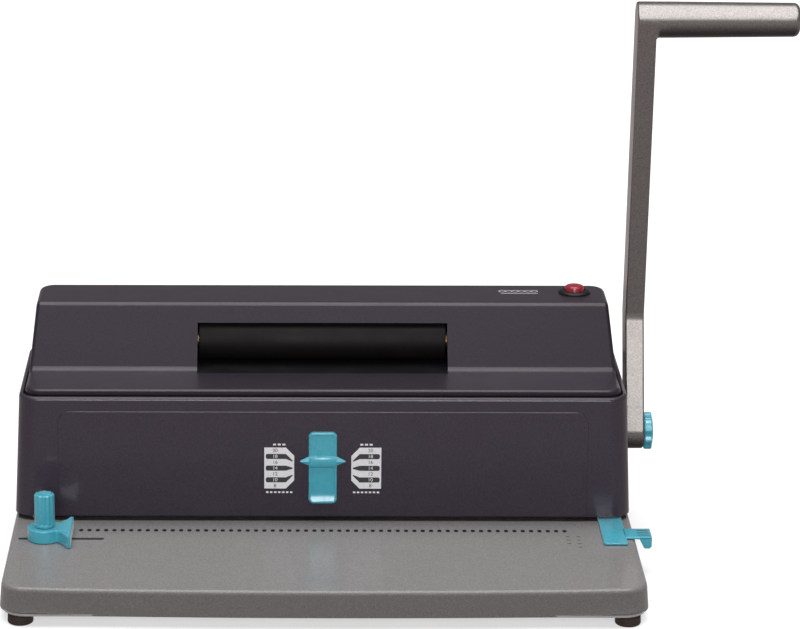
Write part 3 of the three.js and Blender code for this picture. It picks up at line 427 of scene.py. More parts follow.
def bowed(x0, x1, y0, y1, corner, bow=4.5, steps=24):
    """The base's plan: round corners, and a front edge that bows forward in the middle."""
    def front(x):
        return y0 + bow * (2 * x / (x1 - x0)) ** 2

    left = [(x, y + bow) for x, y in arc(x0 + corner, y0 + corner, corner, 180, 262, 10)]
    right = [(-x, y) for x, y in reversed(left)]
    start = left[-1][0]
    edge = []
    for i in range(1, steps):
        x = start * (1 - 2 * i / steps)
        blend = min(1.0, (abs(start) - abs(x)) / 20)
        edge.append((x, front(x) * blend + left[-1][1] * (1 - blend)))
    return [*left, *edge, *right, *arc(x1 - corner, y1 - corner, corner, 0, 90, 10),
            *arc(x0 + corner, y1 - corner, corner, 90, 180, 10)]


def base_pan():
    x0, x1, y0, y1, z0, z1 = PAN
    corner = 16.0
    sheet = 2.0
    outline = bowed(x0, x1, y0, y1, corner)
    flare = 1.0
    points = []
    faces = []
    round_top = 3.0
    levels = [(0.5, z0), (0.12, z0 + 0.15), (0.0, z0 + 0.6), (flare, z1 - round_top)]
    for i in range(1, 6):
        turn = math.pi / 2 * i / 5
        levels.append((
            flare + round_top * (1 - math.cos(turn)), z1 - round_top * (1 - math.sin(turn))))
    inside = [(sheet + flare, z1 - sheet), (sheet, z0 + 0.1), (sheet - 0.2, z0)]
    rings = [(moved_in(outline, inset), z) for inset, z in levels]
    rings_inside = [(moved_in(outline, inset), z) for inset, z in reversed(inside)]
    count = len(outline)
    for ring, z in [*reversed(rings), *rings_inside]:
        points += [(a, b, z) for a, b in ring]
    total = len(levels) + len(inside)
    for k in range(total - 1):
        for i in range(count):
            j = (i + 1) % count
            faces.append((k * count + i, k * count + j, (k + 1) * count + j, (k + 1) * count + i))
    faces.append(list(range(count)))
    faces.append(list(range((total - 1) * count, total * count)))
    pan = build("base_pan_sheet", points, faces, "base_paint", "machine", ["base_pan"])
    slot_x0, slot_x1, slot_r = -181.8, -130.3, 1.75
    slot_y = centre_mm("edge_guide")[1]
    slot = tool_slab(rounded(slot_x0, slot_x1, slot_y - slot_r, slot_y + slot_r, slot_r, 6), 15, 30)
    die = box_mm("die_plate")
    die_half, die_ledge = 155.3, 4.7
    window = tool_box(-die_half, die_half, die[2] + die_ledge, die[3] - die_ledge, 18, 30)
    tray = box_mm("chip_tray")
    mouth = tool_box(tray[0] - 0.3, tray[1] + 0.3, y1 - 3, y1 + 3, tray[4] - 0.3, tray[5] + 0.3)
    carve(pan, slot, window, mouth)
    even_normals(pan)
    bosses = []
    for node in ("front_left", "front_right", "rear_left", "rear_right"):
        x, y, _ = centre_mm(f"base_screw_{node}")
        bosses.append(turned_mesh(
            [(1.95, 9), (4.2, 9), (4.2, z1 - 1), (1.95, z1 - 1), (1.95, 9)], (x, y), "z", 24))
    joined("screw_bosses", bosses, "base_paint", "machine")
    return pan


def bed_marks():
    """The row of marks that shows the hole pattern, and the small size marks beside it."""
    marks = []
    half_x, half_y = 1.25, 2.1
    for i in range(MARK_COUNT):
        x = (i - (MARK_COUNT - 1) / 2) * PUNCH_PITCH
        mark = rounded(x - half_x, x + half_x, MARK_Y - half_y, MARK_Y + half_y, half_x - 0.02, 5)
        marks.append(slab_mesh(mark, BED - 0.3, BED + 0.03, 0.02, steps=1))
    size_first_y, size_pitch = -21.5, 6.0
    for column, rows in ((146.2, 3), (152.6, 4)):
        for row in range(rows):
            y = size_first_y - size_pitch * row
            dash = rounded(column - 1.2, column + 1.2, y - 0.35, y + 0.35, 0.3, 3)
            marks.append(slab_mesh(dash, BED - 0.3, BED + 0.03, 0.02, steps=1))
    joined("bed_marks", marks, "base_paint", "machine", material=MATERIALS["mark_print"])


def feet():
    for corner in ("front_left", "front_right", "rear_left", "rear_right"):
        node = f"foot_{corner}"
        x0, x1, _, _, z0, z1 = box_mm(node)
        r = (x1 - x0) / 2
        x, y, _ = centre_mm(node)
        profile = [
            (0, z0), (r - 3.4, z0), (r - 3.0, z0 + 0.5), (r - 1.9, z0 + 0.5), (r - 1.5, z0),
            (r - 0.9, z0 + 0.1), (r - 0.25, z0 + 0.6), (r, z0 + 1.4), (r - 0.2, z1 - 1.6),
            (r - 0.7, z1 - 1.2), (r - 0.7, z1), (0, z1)]
        turned(f"{node}_pad", profile, (x, y), "rubber", "machine", replaces=[node],
               material=MATERIALS["foot_rubber"])


def cross_screw(name, node, axis, towards):
    """A pan-head screw with a cross recess; towards is the side its head faces."""
    x0, x1, y0, y1, z0, z1 = box_mm(node)
    span = {"y": (y0, y1), "z": (z0, z1)}[axis]
    r = (x1 - x0) / 2
    x, y, z = centre_mm(node)
    centre = (x, z) if axis == "y" else (x, y)
    face, end = (span[1], span[0]) if towards > 0 else span
    thick = 1.4
    dome = [(0, face), (r * 0.55, face - towards * 0.12), (r * 0.85, face - towards * 0.5),
            (r, face - towards * 1.0), (r, face - towards * thick),
            (1.55, face - towards * thick), (1.55, end + towards * 1.2), (0.6, end), (0, end)]
    screw = turned(name, dome, centre, "steel", "machine", axis, [node], 28)
    reach = r * 0.55
    half = r * 0.13
    low, high = sorted((face - towards * 0.9, face + towards * 1.0))
    for wide, tall in ((reach, half), (half, reach)):
        a, b = centre
        outline = [
            (a - wide, b - tall), (a + wide, b - tall), (a + wide, b + tall), (a - wide, b + tall)]
        carve(screw, tool_slab(outline, low, high, axis), smooth=32)


# ---------------------------------------------------------------- housing and covers

HOUSING = box_mm("housing")
COVER = box_mm("top_cover")
WALL = 2.5
COVER_EDGE = 2.6
RIM = HOUSING[5]
SIDE_DRAFT = 3.5
SIDE_SCALE = 1 - SIDE_DRAFT / HOUSING[1]
FRONT_Y = 5.0
THROAT_Z = 26.0
THROAT_STEP = 0.01
KEEPER_SLOT = (-2.3, 2.3, 50.9, 67.5)
SHELF_Z = 104.5
SLANT_FOOT = 47.3
SLANT_HEAD = 73.5
SLANT_FILLET = 6.8
RECESS_TOP = 130.0
BEND_Y = 78.0
BEND_Z = 133.0


def housing():
    """The front and sides in one folded sheet, with a rounded rim."""
    side = HOUSING[1]
    rear = HOUSING[3]
    foot = HOUSING[4]
    corner = 12.0
    throat_end = FRONT_Y + 15.0
    right = [
        *[((x, y), (math.cos(math.radians(a)), math.sin(math.radians(a)))) for (x, y), a in zip(
            arc(side - corner, FRONT_Y + corner, corner, -90, 0, 10), range(-90, 1, 9))],
        ((side, throat_end), (1, 0)),
        ((side, throat_end + THROAT_STEP), (1, 0)),
        ((side, rear - 4), (1, 0))]
    left = [((-x, y), (-nx, ny)) for (x, y), (nx, ny) in reversed(right)]
    path = [*left, *right]
    rim_r = 2.2
    profile = [(0.0, foot), (0.0, RIM - rim_r)]
    for i in range(1, 6):
        turn = math.pi / 2 * i / 5
        profile.append((-rim_r * (1 - math.cos(turn)), RIM - rim_r * (1 - math.sin(turn))))
    profile += [(-WALL + 0.1, RIM - 0.05), (-WALL, RIM - 0.3), (-WALL, foot)]
    points = []
    faces = []
    count = len(profile)
    for (x, y), (nx, ny) in path:
        for offset, z in profile:
            z = THROAT_Z if z < THROAT_Z and y < throat_end + THROAT_STEP / 2 else z
            points.append((x + nx * offset, y + ny * offset, z))
    for k in range(len(path) - 1):
        for i in range(count):
            j = (i + 1) % count
            faces.append((k * count + i, k * count + j, (k + 1) * count + j, (k + 1) * count + i))
    faces.append(list(range(count)))
    faces.append(list(range((len(path) - 1) * count, len(path) * count)))
    shell = build("housing_shell", points, faces, "housing_paint", "machine", ["housing"])
    drawn_in(shell, foot, RIM, SIDE_SCALE)
    _, shaft_y, shaft_z = joint_place("handle_swing")
    hole = tool_slab(circle(shaft_y, shaft_z, 6.5), 170, 190, "x")
    carve(shell, hole, tool_box(*KEEPER_SLOT[:2], 0, 12, *KEEPER_SLOT[2:]))
    even_normals(shell)
    panel_left, panel_right, panel_top = -159.3, 159.3, 92.6
    outline = rounded(panel_left, panel_right, THROAT_Z + 0.2, panel_top, (0.5, 0.5, 8.0, 8.0), 8)
    slot_hole = rounded(*KEEPER_SLOT, 0.2, 2)
    slab("housing_front_panel", outline, FRONT_Y - 0.5, FRONT_Y + 0.3, "housing_paint", "machine",
         0.05, "y", holes=[slot_hole], low_edge=0.45)


SLANT_LEAN = math.atan2(SLANT_HEAD - SLANT_FOOT, COVER[5] - SHELF_Z)
FILLET_TURN = math.pi / 2 - SLANT_LEAN
FILLET_Y = SLANT_FOOT - SLANT_FILLET * math.tan(FILLET_TURN / 2)


def cover_face(z):
    return SLANT_FOOT + (z - SHELF_Z) * (SLANT_HEAD - SLANT_FOOT) / (COVER[5] - SHELF_Z)


def top_cover():
    """Shelf, slanted face and flat top in one pressed shell, with the roller's recess."""
    half_foot = COVER[1]
    half_top = 175.6
    front, rear, foot, top = COVER[2], COVER[3], COVER[4], COVER[5]
    scale = half_top / half_foot
    hollow_curve = [
        (FILLET_Y + SLANT_FILLET * math.sin(FILLET_TURN * i / 12),
         SHELF_Z + SLANT_FILLET * (1 - math.cos(FILLET_TURN * i / 12))) for i in range(12, -1, -1)]
    outline = [(front, foot), (rear, foot), (rear, top), (SLANT_HEAD, top), *hollow_curve,
               (front, SHELF_Z)]
    points, faces = slab_mesh(outline, -half_foot, half_foot, 0.0, "x", steps=1)
    shell = build("top_cover_shell", points, faces, "housing_paint", "machine", ["top_cover"])
    plan = tool_slab(rounded(-half_foot, half_foot, front, rear, 9.5, 10), foot - 1, top + 1)
    carve(shell, plan, operation="INTERSECT")
    drawn_in(shell, foot, top, scale)
    round_edges(shell, COVER_EDGE, 5)
    thick = WALL / math.cos(SLANT_LEAN)
    inner = [(front + WALL, foot - 2), (rear - WALL, foot - 2), (rear - WALL, top - WALL),
             (cover_face(top - WALL) + thick, top - WALL),
             (cover_face(SHELF_Z - WALL) + thick, SHELF_Z - WALL), (front + WALL, SHELF_Z - WALL)]
    hollow = tool_slab(inner, -half_foot + 4, half_foot - 4, "x")
    drawn_in(hollow, foot, top, scale)
    well = box_mm("roller_well")
    window_half = well[1] - WALL
    recess = tool_box(-window_half, window_half, FILLET_Y, 88, SHELF_Z - WALL - 1, RECESS_TOP)
    bx, by, _ = centre_mm("run_button")
    hole = tool_slab(circle(bx, by, 8.6, 40), top - 6, top + 3)
    carve(shell, hollow, recess, hole)
    even_normals(shell)
    return shell


def rear_cover():
    x0, x1, y0, y1, z0, z1 = box_mm("rear_cover")
    lean = SIDE_DRAFT * (z1 - z0) / (RIM - HOUSING[4])
    outline = [(x0, z0), (x1, z0), (x1 - lean, z1), (x0 + lean, z1)]
    ix, _, iz = centre_mm("power_inlet")
    inlet_hole = rounded(ix - 13.8, ix + 13.8, iz - 10.8, iz + 10.8, 0.8, 3)
    holes = [inlet_hole]
    for number in range(1, 5):
        x, _, z = centre_mm(f"rear_screw_{number}")
        holes.append(circle(x, z, 1.9, 20))
    for group in (-60, 60):
        for row in range(6):
            z = 40 + row * 7.0
            holes.append(rounded(group - 26, group + 26, z - 1.3, z + 1.3, 1.25, 5))
    slab("rear_cover_sheet", outline, y0, y1, "housing_paint", "machine", 0.35, "y",
         holes=holes, replaces=["rear_cover"])


def power_inlet():
    """A three-blade inlet with a chamfered socket."""
    x0, x1, y0, y1, z0, z1 = box_mm("power_inlet")
    x = (x0 + x1) / 2
    z = (z0 + z1) / 2
    cham = 4.0
    socket = [(x - 12, z - 8.6), (x + 12, z - 8.6), (x + 12, z + 8.6 - cham),
              (x + 12 - cham, z + 8.6), (x - 12 + cham, z + 8.6), (x - 12, z + 8.6 - cham)]
    flange = slab_mesh(rounded(x0, x1, z0, z1, 2.0, 5), y1 - 1.8, y1, 0.5, "y", [socket])
    body = slab_mesh(
        rounded(x - 13.5, x + 13.5, z - 10.4, z + 10.4, 1.0, 3), y0, y1 - 1.0, 0.3, "y", [socket])
    floor = slab_mesh(rounded(x - 13, x + 13, z - 10, z + 10, 1.0, 3), y0 + 0.2, y0 + 3.0, 0.2, "y")
    joined("power_inlet_body", [flange, body, floor], "black_plastic", "machine", ["power_inlet"])
    blades = [slab_mesh(rounded(x + dx - 1, x + dx + 1, z + dz - 2, z + dz + 2, 0.3, 2),
                        y0 + 2, y1 - 3.8, 0.5, "y") for dx, dz in ((-7, -2), (0, 2), (7, -2))]
    joined("power_inlet_blades", blades, "steel", "machine")


# ---------------------------------------------------------------- lever

def bent_bar(places, r):
    """The outline of a bar of half-width r with round ends and one bend."""
    (ay, az), (by, bz), (cy, cz) = places
    first = math.degrees(math.atan2(bz - az, by - ay))
    second = math.degrees(math.atan2(cz - bz, cy - by))
    mitre = r / math.cos(math.radians(second - first) / 2)
    across = math.radians((first + second) / 2 + 90)
    front_bend = Vector((by + mitre * math.cos(across), bz + mitre * math.sin(across)))
    above = front_bend + 3.0 * Vector((cy - by, cz - bz)).normalized()
    below = front_bend - 3.0 * Vector((by - ay, bz - az)).normalized()
    inner = [above, (above + 2 * front_bend + below) / 4, below]
    return [
        *arc(by, bz, r, first - 90, second - 90, 5), *arc(cy, cz, r, second - 90, second + 90, 24),
        *[tuple(point) for point in inner], *arc(ay, az, r, first + 90, first + 270, 24)]


def lever():
    """The bent bar and its round grip in one casting, with a fillet where they meet."""
    x0, x1, _, _, _, _ = box_mm("handle_arm")
    _, grip_end, _, _, grip_low, grip_high = box_mm("handle_grip")
    _, hub_y, hub_z = joint_place("handle_swing")
    _, grip_y, grip_z = centre_mm("handle_grip")
    r = (grip_high - grip_low) / 2
    outline = bent_bar([(hub_y, hub_z), (BEND_Y, BEND_Z), (grip_y, grip_z)], r + 0.05)
    arm = slab("lever_casting", outline, x0, x1, "lever_paint", "handle", 1.2, "x",
               replaces=["handle_arm", "handle_grip"], steps=4)
    arm.modifiers.clear()
    tip = r - 0.7
    nose = 3.8
    profile = [(0, x0 + 4), (r, x0 + 4), (r, x1 + 8)]
    for i in range(9):
        turn = math.pi / 2 * i / 8
        profile.append((tip - nose * (1 - math.cos(turn)), grip_end - nose + nose * math.sin(turn)))
    profile.append((0, grip_end))
    grip = build("tool", *turned_mesh(profile, (grip_y, grip_z), "x", 96), "steel", None)
    fillet = 2.6
    ring = [(r - 1, x1 - 1), (r + fillet, x1 - 1)]
    for i in range(9):
        turn = math.pi / 2 * i / 8
        ring.append((r + fillet - fillet * math.sin(turn), x1 + fillet - fillet * math.cos(turn)))
    ring += [(r - 1, x1 + fillet), ring[0]]
    corner = build("tool", *turned_mesh(ring, (grip_y, grip_z), "x", 96), "steel", None)
    carve(corner, tool_slab(moved_in(outline, 0.3), x1 - 2, x1 + 4, "x"), operation="INTERSECT")
    carve(arm, grip, corner, operation="UNION")
    carve(arm, tool_slab(circle(hub_y, hub_z, 5.3, 40), x0 - 3, x1 + 3, "x"))
    return even_normals(arm)


def lobed(cx, cy, r, depth, lobes, steps=8):
    points = []
    for i in range(lobes * steps):
        angle = 2 * math.pi * i / (lobes * steps)
        reach = r - depth * (1 - math.cos(lobes * angle)) / 2
        points.append((cx + reach * math.cos(angle), cy + reach * math.sin(angle)))
    return points


def hub_knob():
    x0, x1, _, _, _, _ = box_mm("handle_knob")
    _, y, z = joint_place("hub_knob_turn")
    outline = lobed(y, z, 11.5, 1.5, 9, 10)
    knob = slab_mesh(outline, x0, x1 - 0.6, 1.0, "x", steps=4)
    cap_profile = [
        (0, x1 - 2), (7.4, x1 - 2), (7.4, x1 - 0.5), (7.0, x1 - 0.15), (6.4, x1), (0, x1)]
    cap = turned_mesh(cap_profile, (y, z), "x", 40)
    even_normals(joined("hub_knob_grip", [knob, cap], "teal_plastic", "hub_knob", ["handle_knob"]))


# ---------------------------------------------------------------- depth selector

def depth_selector():
    """One slide: a rimmed plate with a finger scoop under a pointer band."""
    tip0, tip1, front, back, _, _ = box_mm("depth_slider")
    half, low, high, z = 8.5, 35.0, 80.0, 61.7
    face = 2.2
    plate_back = FRONT_Y - 0.3
    plate = slab("depth_slide_plate", rounded(-half, half, low, high, 3.0, 8), face, plate_back,
                 "teal_plastic", "depth_slide", 0.1, "y", replaces=["depth_slider"], low_edge=0.9,
                 steps=4)
    plate.modifiers.clear()
    rim = 1.3
    floor = face + 1.4
    bowl = [(face - 2, low + rim), (face, low + rim)]
    for i in range(9):
        t = i / 8
        bowl.append((face + (floor - face) * math.sin(t * math.pi / 2), low + rim + 5.6 * t))
    upper = face + 0.55
    bowl += [(floor, z), (upper, z), (upper, high - rim), (face - 2, high - rim)]
    points, faces = slab_mesh(bowl, -half + rim, half - rim, 0.0, "x", steps=1)
    scoop = build("tool", points, faces, "steel", None)
    scoop_plan = rounded(-half + rim, half - rim, low + rim, high - rim, 1.9, 6)
    corners = tool_slab(scoop_plan, face - 3, back, "y")
    carve(scoop, corners, operation="INTERSECT")
    even_normals(carve(plate, scoop))
    rise = 3.6
    foot = face + 0.5
    band_fullness = 0.6
    band = []
    for i in range(13):
        turn = math.pi * i / 12
        band.append((
            foot - (foot - front) * math.sin(turn) ** band_fullness, z + rise * math.cos(turn)))
    band = [*band, (floor + 0.2, z - rise), (floor + 0.2, z + rise)]
    points, faces = slab_mesh(band, -half + 0.25, half - 0.25, 0.35, "x", steps=2)
    parts = [(points, faces)]
    for sign in (-1, 1):
        tip = tip0 if sign < 0 else tip1
        wing_low, wing_high = z - rise * 0.75, z + rise * 0.95
        root = sign * (half - 0.6)
        wing = [
            (root, face + 0.3, wing_low), (root, face + 0.3, wing_high),
            (root, face + 1.3, wing_high), (root, face + 1.3, wing_low),
            (root, front + 0.25, z + 0.2), (tip, face - 0.1, z), (tip, face - 0.1, z + 0.6),
            (tip, face + 0.9, z + 0.6), (tip, face + 0.9, z)]
        sides = [(0, 4, 5), (4, 1, 6, 5), (1, 2, 7, 6), (2, 3, 8, 7), (3, 0, 5, 8), (5, 6, 7, 8),
                 (0, 3, 2, 1, 4)]
        parts.append((wing, sides))
    stem = slab_mesh(rounded(-2, 2, z - 2.5, z + 2.5, 0.4, 2), floor, back - 1.5, 0.05, "y")
    keeper = slab_mesh(rounded(-6, 6, z - 5, z + 5, 1.0, 3), back - 2.0, back, 0.3, "y")
    joined("depth_pointer", [*parts, stem, keeper], "teal_plastic", "depth_slide")


def digits(text, size, x, y, z):
    """The mesh of some printed digits that face the front."""
    curve = bpy.data.curves.new("digits", "FONT")
    curve.body = text
    curve.size = size * MM
    curve.extrude = 0.02 * MM
    curve.align_x = "CENTER"
    curve.align_y = "CENTER"
    thing = bpy.data.objects.new("digits", curve)
    bpy.context.collection.objects.link(thing)
    thing.rotation_euler = (math.pi / 2, 0, 0)
    thing.location = (x * MM + MIDDLE_X, y * MM, z * MM)
    bpy.context.view_layer.update()
    graph = bpy.context.evaluated_depsgraph_get()
    mesh = bpy.data.meshes.new_from_object(thing.evaluated_get(graph))
    mesh.transform(thing.matrix_world)
    bpy.data.objects.remove(thing)
    return mesh


def scale_label(side, sign, values):
    """A light plate with dark bands that fan in to the pointer's travel, and its numbers."""
    x0, x1, y0, y1, z0, z1 = box_mm(f"scale_label_{side}")
    near = x1 if sign < 0 else x0
    far = x0 if sign < 0 else x1
    rows = len(values)
    pitch = (z1 - z0) / rows
    knee = near + sign * 5.0
    near_low = z0 + 5.2
    near_high = z1 - 5.2

    def placed(outline):
        """Keeps an outline counter-clockwise on either side."""
        return outline if sign < 0 else outline[::-1]

    def slanted(z):
        """The height at the near edge of a line that leaves the far edge at z."""
        return near_low + (z - z0) * (near_high - near_low) / (z1 - z0)

    plate = placed([
        (far, z0), (knee, z0), (near, near_low), (near, near_high), (knee, z1), (far, z1)])
    joined(
        f"scale_plate_{side}", [slab_mesh(plate, y0 + 0.1, y1, 0.05, "y", steps=1)],
        "label_print", "machine", [f"scale_label_{side}"])
    bands = []
    inset = 0.9
    for row in range(1, rows, 2):
        low = z0 + row * pitch + 0.25
        high = z0 + (row + 1) * pitch - 0.25
        start = near + sign * inset
        middle = slanted((low + high) / 2)
        end = far - sign * inset
        bands.append(placed([
            (end, low + 0.9), (end - sign * 0.3, low + 0.3), (end - sign * 0.9, low), (knee, low),
            (start, middle - 0.35), (start, middle + 0.35), (knee, high),
            (end - sign * 0.9, high), (end - sign * 0.3, high - 0.3), (end, high - 0.9)]))
    joined(
        f"scale_bands_{side}",
        [slab_mesh(band, y0 + 0.05, y0 + 0.2, 0.01, "y", steps=1) for band in bands],
        "label_print", "machine", material=MATERIALS["dark_print"])
    for tone, first, slot_material in (("dark", 0, "dark_print"), ("light", 1, "label_print")):
        merged = bmesh.new()
        for row in range(first, rows, 2):
            z = z0 + (row + 0.5) * pitch
            mesh = digits(values[row], 3.1, (far + knee) / 2, y0 + 0.04, z)
            merged.from_mesh(mesh)
            bpy.data.meshes.remove(mesh)
        mesh = bpy.data.meshes.new(f"scale_numbers_{tone}_{side}")
        merged.to_mesh(mesh)
        merged.free()
        mesh.materials.append(MATERIALS[slot_material])
        thing = bpy.data.objects.new(mesh.name, mesh)
        bpy.context.collection.objects.link(thing)
        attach(thing, "machine")
    dashes = []
    for width, z, count in ((1.9, z1 + 1.9, 3), (1.5, z0 - 2.4, 7)):
        for i in range(count):
            x = (near + far) / 2 + (i - (count - 1) / 2) * (width + 0.9)
            dashes.append(slab_mesh(
                rounded(x - width / 2, x + width / 2, z - 0.55, z + 0.55, 0.3, 3),
                FRONT_Y - 0.56, FRONT_Y - 0.44, 0.01, "y", steps=1))
    joined(f"scale_dashes_{side}", dashes, "label_print", "machine")


# ---------------------------------------------------------------- edge guide and side stop

def edge_guide():
    x0, x1, y0, y1, z0, z1 = box_mm("edge_guide")
    gx, gy, _ = joint_place("guide_knob_turn")
    half = (y1 - y0) / 2
    face = x1
    neck, neck_half, disc_r = 7.0, 7.5, 10.3

    def curved(t, start, middle, end):
        return (1 - t) ** 2 * start + 2 * t * (1 - t) * middle + t ** 2 * end

    flare = []
    for i in range(11):
        a = curved(i / 10, gx + neck, face - neck, face - 1.6)
        b = curved(i / 10, neck_half, neck_half - 1, half)
        flare.append((a, b))
    lower = [(a, gy - b) for a, b in flare]
    upper = [(a, gy + b) for a, b in reversed(flare)]
    waist = math.degrees(math.atan2(neck_half, neck))
    disc = arc(gx, gy, disc_r, waist, 360 - waist, 26)
    outline = [*disc, *lower, (face, gy - half + 0.8), (face, gy + half - 0.8), *upper]
    slab("edge_guide_body", outline, z0, z1, "teal_plastic", "guide", 0.7, "z",
         holes=[circle(gx, gy, 2.1, 24)], replaces=["edge_guide"], low_edge=0.2)
    x0, x1, _, _, k0, k1 = box_mm("edge_guide_knob")
    r = (x1 - x0) / 2
    knob_foot = z1 + 0.3
    collar_profile = [
        (0, knob_foot), (r - 0.4, knob_foot), (r, knob_foot + 0.5), (r, knob_foot + 1.8),
        (r - 0.5, knob_foot + 2.2), (0, knob_foot + 2.2)]
    collar = turned_mesh(collar_profile, (gx, gy), "z", 40)
    fluted = slab_mesh(
        lobed(gx, gy, r, 0.6, 12, 8), knob_foot + 2.0, k1, 1.1, "z", steps=4, low_edge=0.1)
    stud_profile = [
        (0, k0), (1.1, k0), (1.5, k0 + 0.5), (1.5, knob_foot + 1), (0, knob_foot + 1)]
    stud = turned_mesh(stud_profile, (gx, gy), "z", 20)
    joined("edge_guide_knob_grip", [collar, fluted, stud], "teal_plastic", "guide_knob",
           ["edge_guide_knob"])


def side_stop():
    x0, x1, y0, y1, z0, z1 = box_mm("side_stop")
    plate_end = 180.7
    low = BED + 0.3
    plate = slab_mesh(rounded(x0, plate_end, y0, y1, (1.5, 0.4, 0.4, 0.4), 4), low, z1, 0.35)
    reach_y0, reach_y1 = -27.0, -11.5
    reach = slab_mesh(rounded(plate_end - 1, x1, reach_y0, reach_y1, 0.6, 3), low, z1, 0.35)
    tab_outline = [
        (188.1, z1 - 0.3), (191.4, z0 + 0.4), (191.9, z0), (x1 - 1.2, z0), (x1, z0 + 1.2),
        (x1, z1 - 0.3)]
    tab = slab_mesh(tab_outline, reach_y0, reach_y1, 0.4, "y")
    ridges = []
    for i in range(3):
        y = reach_y0 + 4 + i * 4.0
        ridge = rounded(plate_end + 7, x1 - 1.2, y - 0.45, y + 0.45, 0.4, 3)
        ridges.append(slab_mesh(ridge, z1 - 0.3, z1, 0.02))
    joined(
        "side_stop_plate", [plate, reach, tab, *ridges], "teal_plastic", "pull_stop",
        ["side_stop"])


# ---------------------------------------------------------------- tray, button, roller, springs

def chip_tray():
    x0, x1, y0, y1, z0, z1 = box_mm("chip_tray")
    block = slab_mesh(rounded(x0 + 2, x1 - 2, y0, y1 - 1.6, 2.5, 5), z0, z1, 0.4)
    tray = joined("chip_tray_body", [block], "black_plastic", "tray", ["chip_tray"])
    pocket = tool_slab(rounded(x0 + 3.5, x1 - 3.5, y0 + 1.5, y1 - 3.0, 1.5, 4), z0 + 1.2, z1 + 5)
    carve(tray, pocket)
    panel = slab_mesh(rounded(x0, x1, z0, z1, 1.0, 4), y1 - 2.0, y1, 0.4, "y")
    joined("chip_tray_front", [panel], "black_plastic", "tray")
    slab(
        "chip_tray_pull_mark", rounded(-22, 22, z0 + 2.2, z1 - 2.2, 1.6, 5), y1 - 0.5, y1 - 0.02,
        "black_plastic", "tray", 0.02, "y")


def run_button():
    bx, by, _ = centre_mm("run_button")
    x0, x1, _, _, z0, z1 = box_mm("switch_bezel")
    r = (x1 - x0) / 2
    bore = 6.2
    seat = COVER[5] + 0.1
    profile = [
        (bore, z0), (8.2, z0), (8.2, seat), (r, seat), (r, seat + 0.6), (r - 0.25, z1 - 0.9),
        (r - 0.9, z1 - 0.25), (r - 1.7, z1), (bore + 0.7, z1), (bore + 0.2, z1 - 0.2),
        (bore, z1 - 0.7), (bore, z0)]
    turned(
        "switch_bezel_ring", profile, (bx, by), "black_plastic", "machine", "z",
        ["switch_bezel"], 56)
    x0, x1, _, _, z0, z1 = box_mm("run_button")
    r = (x1 - x0) / 2
    profile = [
        (0, z0), (r - 0.2, z0), (r, z0 + 0.2), (r, z1 - 1.7), (r - 0.2, z1 - 1.25),
        (r - 0.7, z1 - 0.85), (r - 1.6, z1 - 0.5), (r * 0.5, z1 - 0.18), (r * 0.25, z1 - 0.05),
        (0, z1)]
    turned("run_button_cap", profile, (bx, by), "red_plastic", "button", "z", ["run_button"], 56)


def run_pictogram():
    """A small generic coil sign beside the button."""
    low, high = COVER[5] + 0.005, COVER[5] + 0.05
    start, y = 109.8, 98.5
    loops, pitch = 6, 4.0
    outer_r, inner_r = 2.2, 1.75
    parts = []
    for i in range(loops):
        x = start + 2 + pitch * i
        ring, hole = circle(x, y, outer_r, 20), circle(x, y, inner_r, 20)
        parts.append(slab_mesh(ring, low, high, 0.01, "z", [hole], steps=1))
    underline = rounded(start + 1, start + pitch * loops, y - 5.2, y - 4.7, 0.2, 2)
    parts.append(slab_mesh(underline, low, high, 0.01, steps=1))
    joined("run_pictogram", parts, "label_print", "machine")


def roller():
    x0, x1, y0, y1, _, _ = box_mm("roller_sleeve")
    _, y, z = joint_place("roller_spin")
    r = (y1 - y0) / 2
    profile = [(3.3, x0), (r - 0.8, x0), (r - 0.2, x0 + 0.25), (r, x0 + 0.9), (r, x1 - 0.9),
               (r - 0.2, x1 - 0.25), (r - 0.8, x1), (3.3, x1), (3.3, x0)]
    turned("roller_tube", profile, (y, z), "rubber", "roller", "x", ["roller_sleeve"], 72)


def return_spring(side):
    node = f"return_spring_{side}"
    x, y, _ = centre_mm(node)
    x0, x1, _, _, z0, z1 = box_mm(node)
    wire = 0.6
    r = (x1 - x0) / 2 - wire
    spring = coil(f"{node}_coil", x, y, z0, z1, r, wire, 6.5)
    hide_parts(node)
    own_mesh(spring)


def button_spring():
    x, y, _ = centre_mm("button_spring")
    x0, x1, _, _, z0, z1 = box_mm("button_spring")
    wire = 0.35
    spring = coil("button_spring_coil", x, y, z0, z1, (x1 - x0) / 2 - wire, wire, 5.5)
    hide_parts("button_spring")
    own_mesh(spring)


def coil(name, x, y, z0, z1, r, wire, turns):
    points = []
    faces = []
    steps = int(turns * 24)
    sides = 8
    for i in range(steps + 1):
        t = i / steps
        angle = 2 * math.pi * turns * t
        dead = 0.08
        rise = min(1, max(0, (t - dead) / (1 - 2 * dead)))
        z = z0 + wire + (z1 - z0 - 2 * wire) * rise
        for k in range(sides):
            turn = 2 * math.pi * k / sides
            reach = r + wire * math.cos(turn)
            points.append((
                x + reach * math.cos(angle), y + reach * math.sin(angle),
                z + wire * math.sin(turn)))
    for i in range(steps):
        for k in range(sides):
            m = (k + 1) % sides
            faces.append((i * sides + k, i * sides + m, (i + 1) * sides + m, (i + 1) * sides + k))
    faces.append(list(range(sides)))
    faces.append(list(range(steps * sides, (steps + 1) * sides)))
    return build(name, points, faces, "steel", "machine")


# ---------------------------------------------------------------- the model

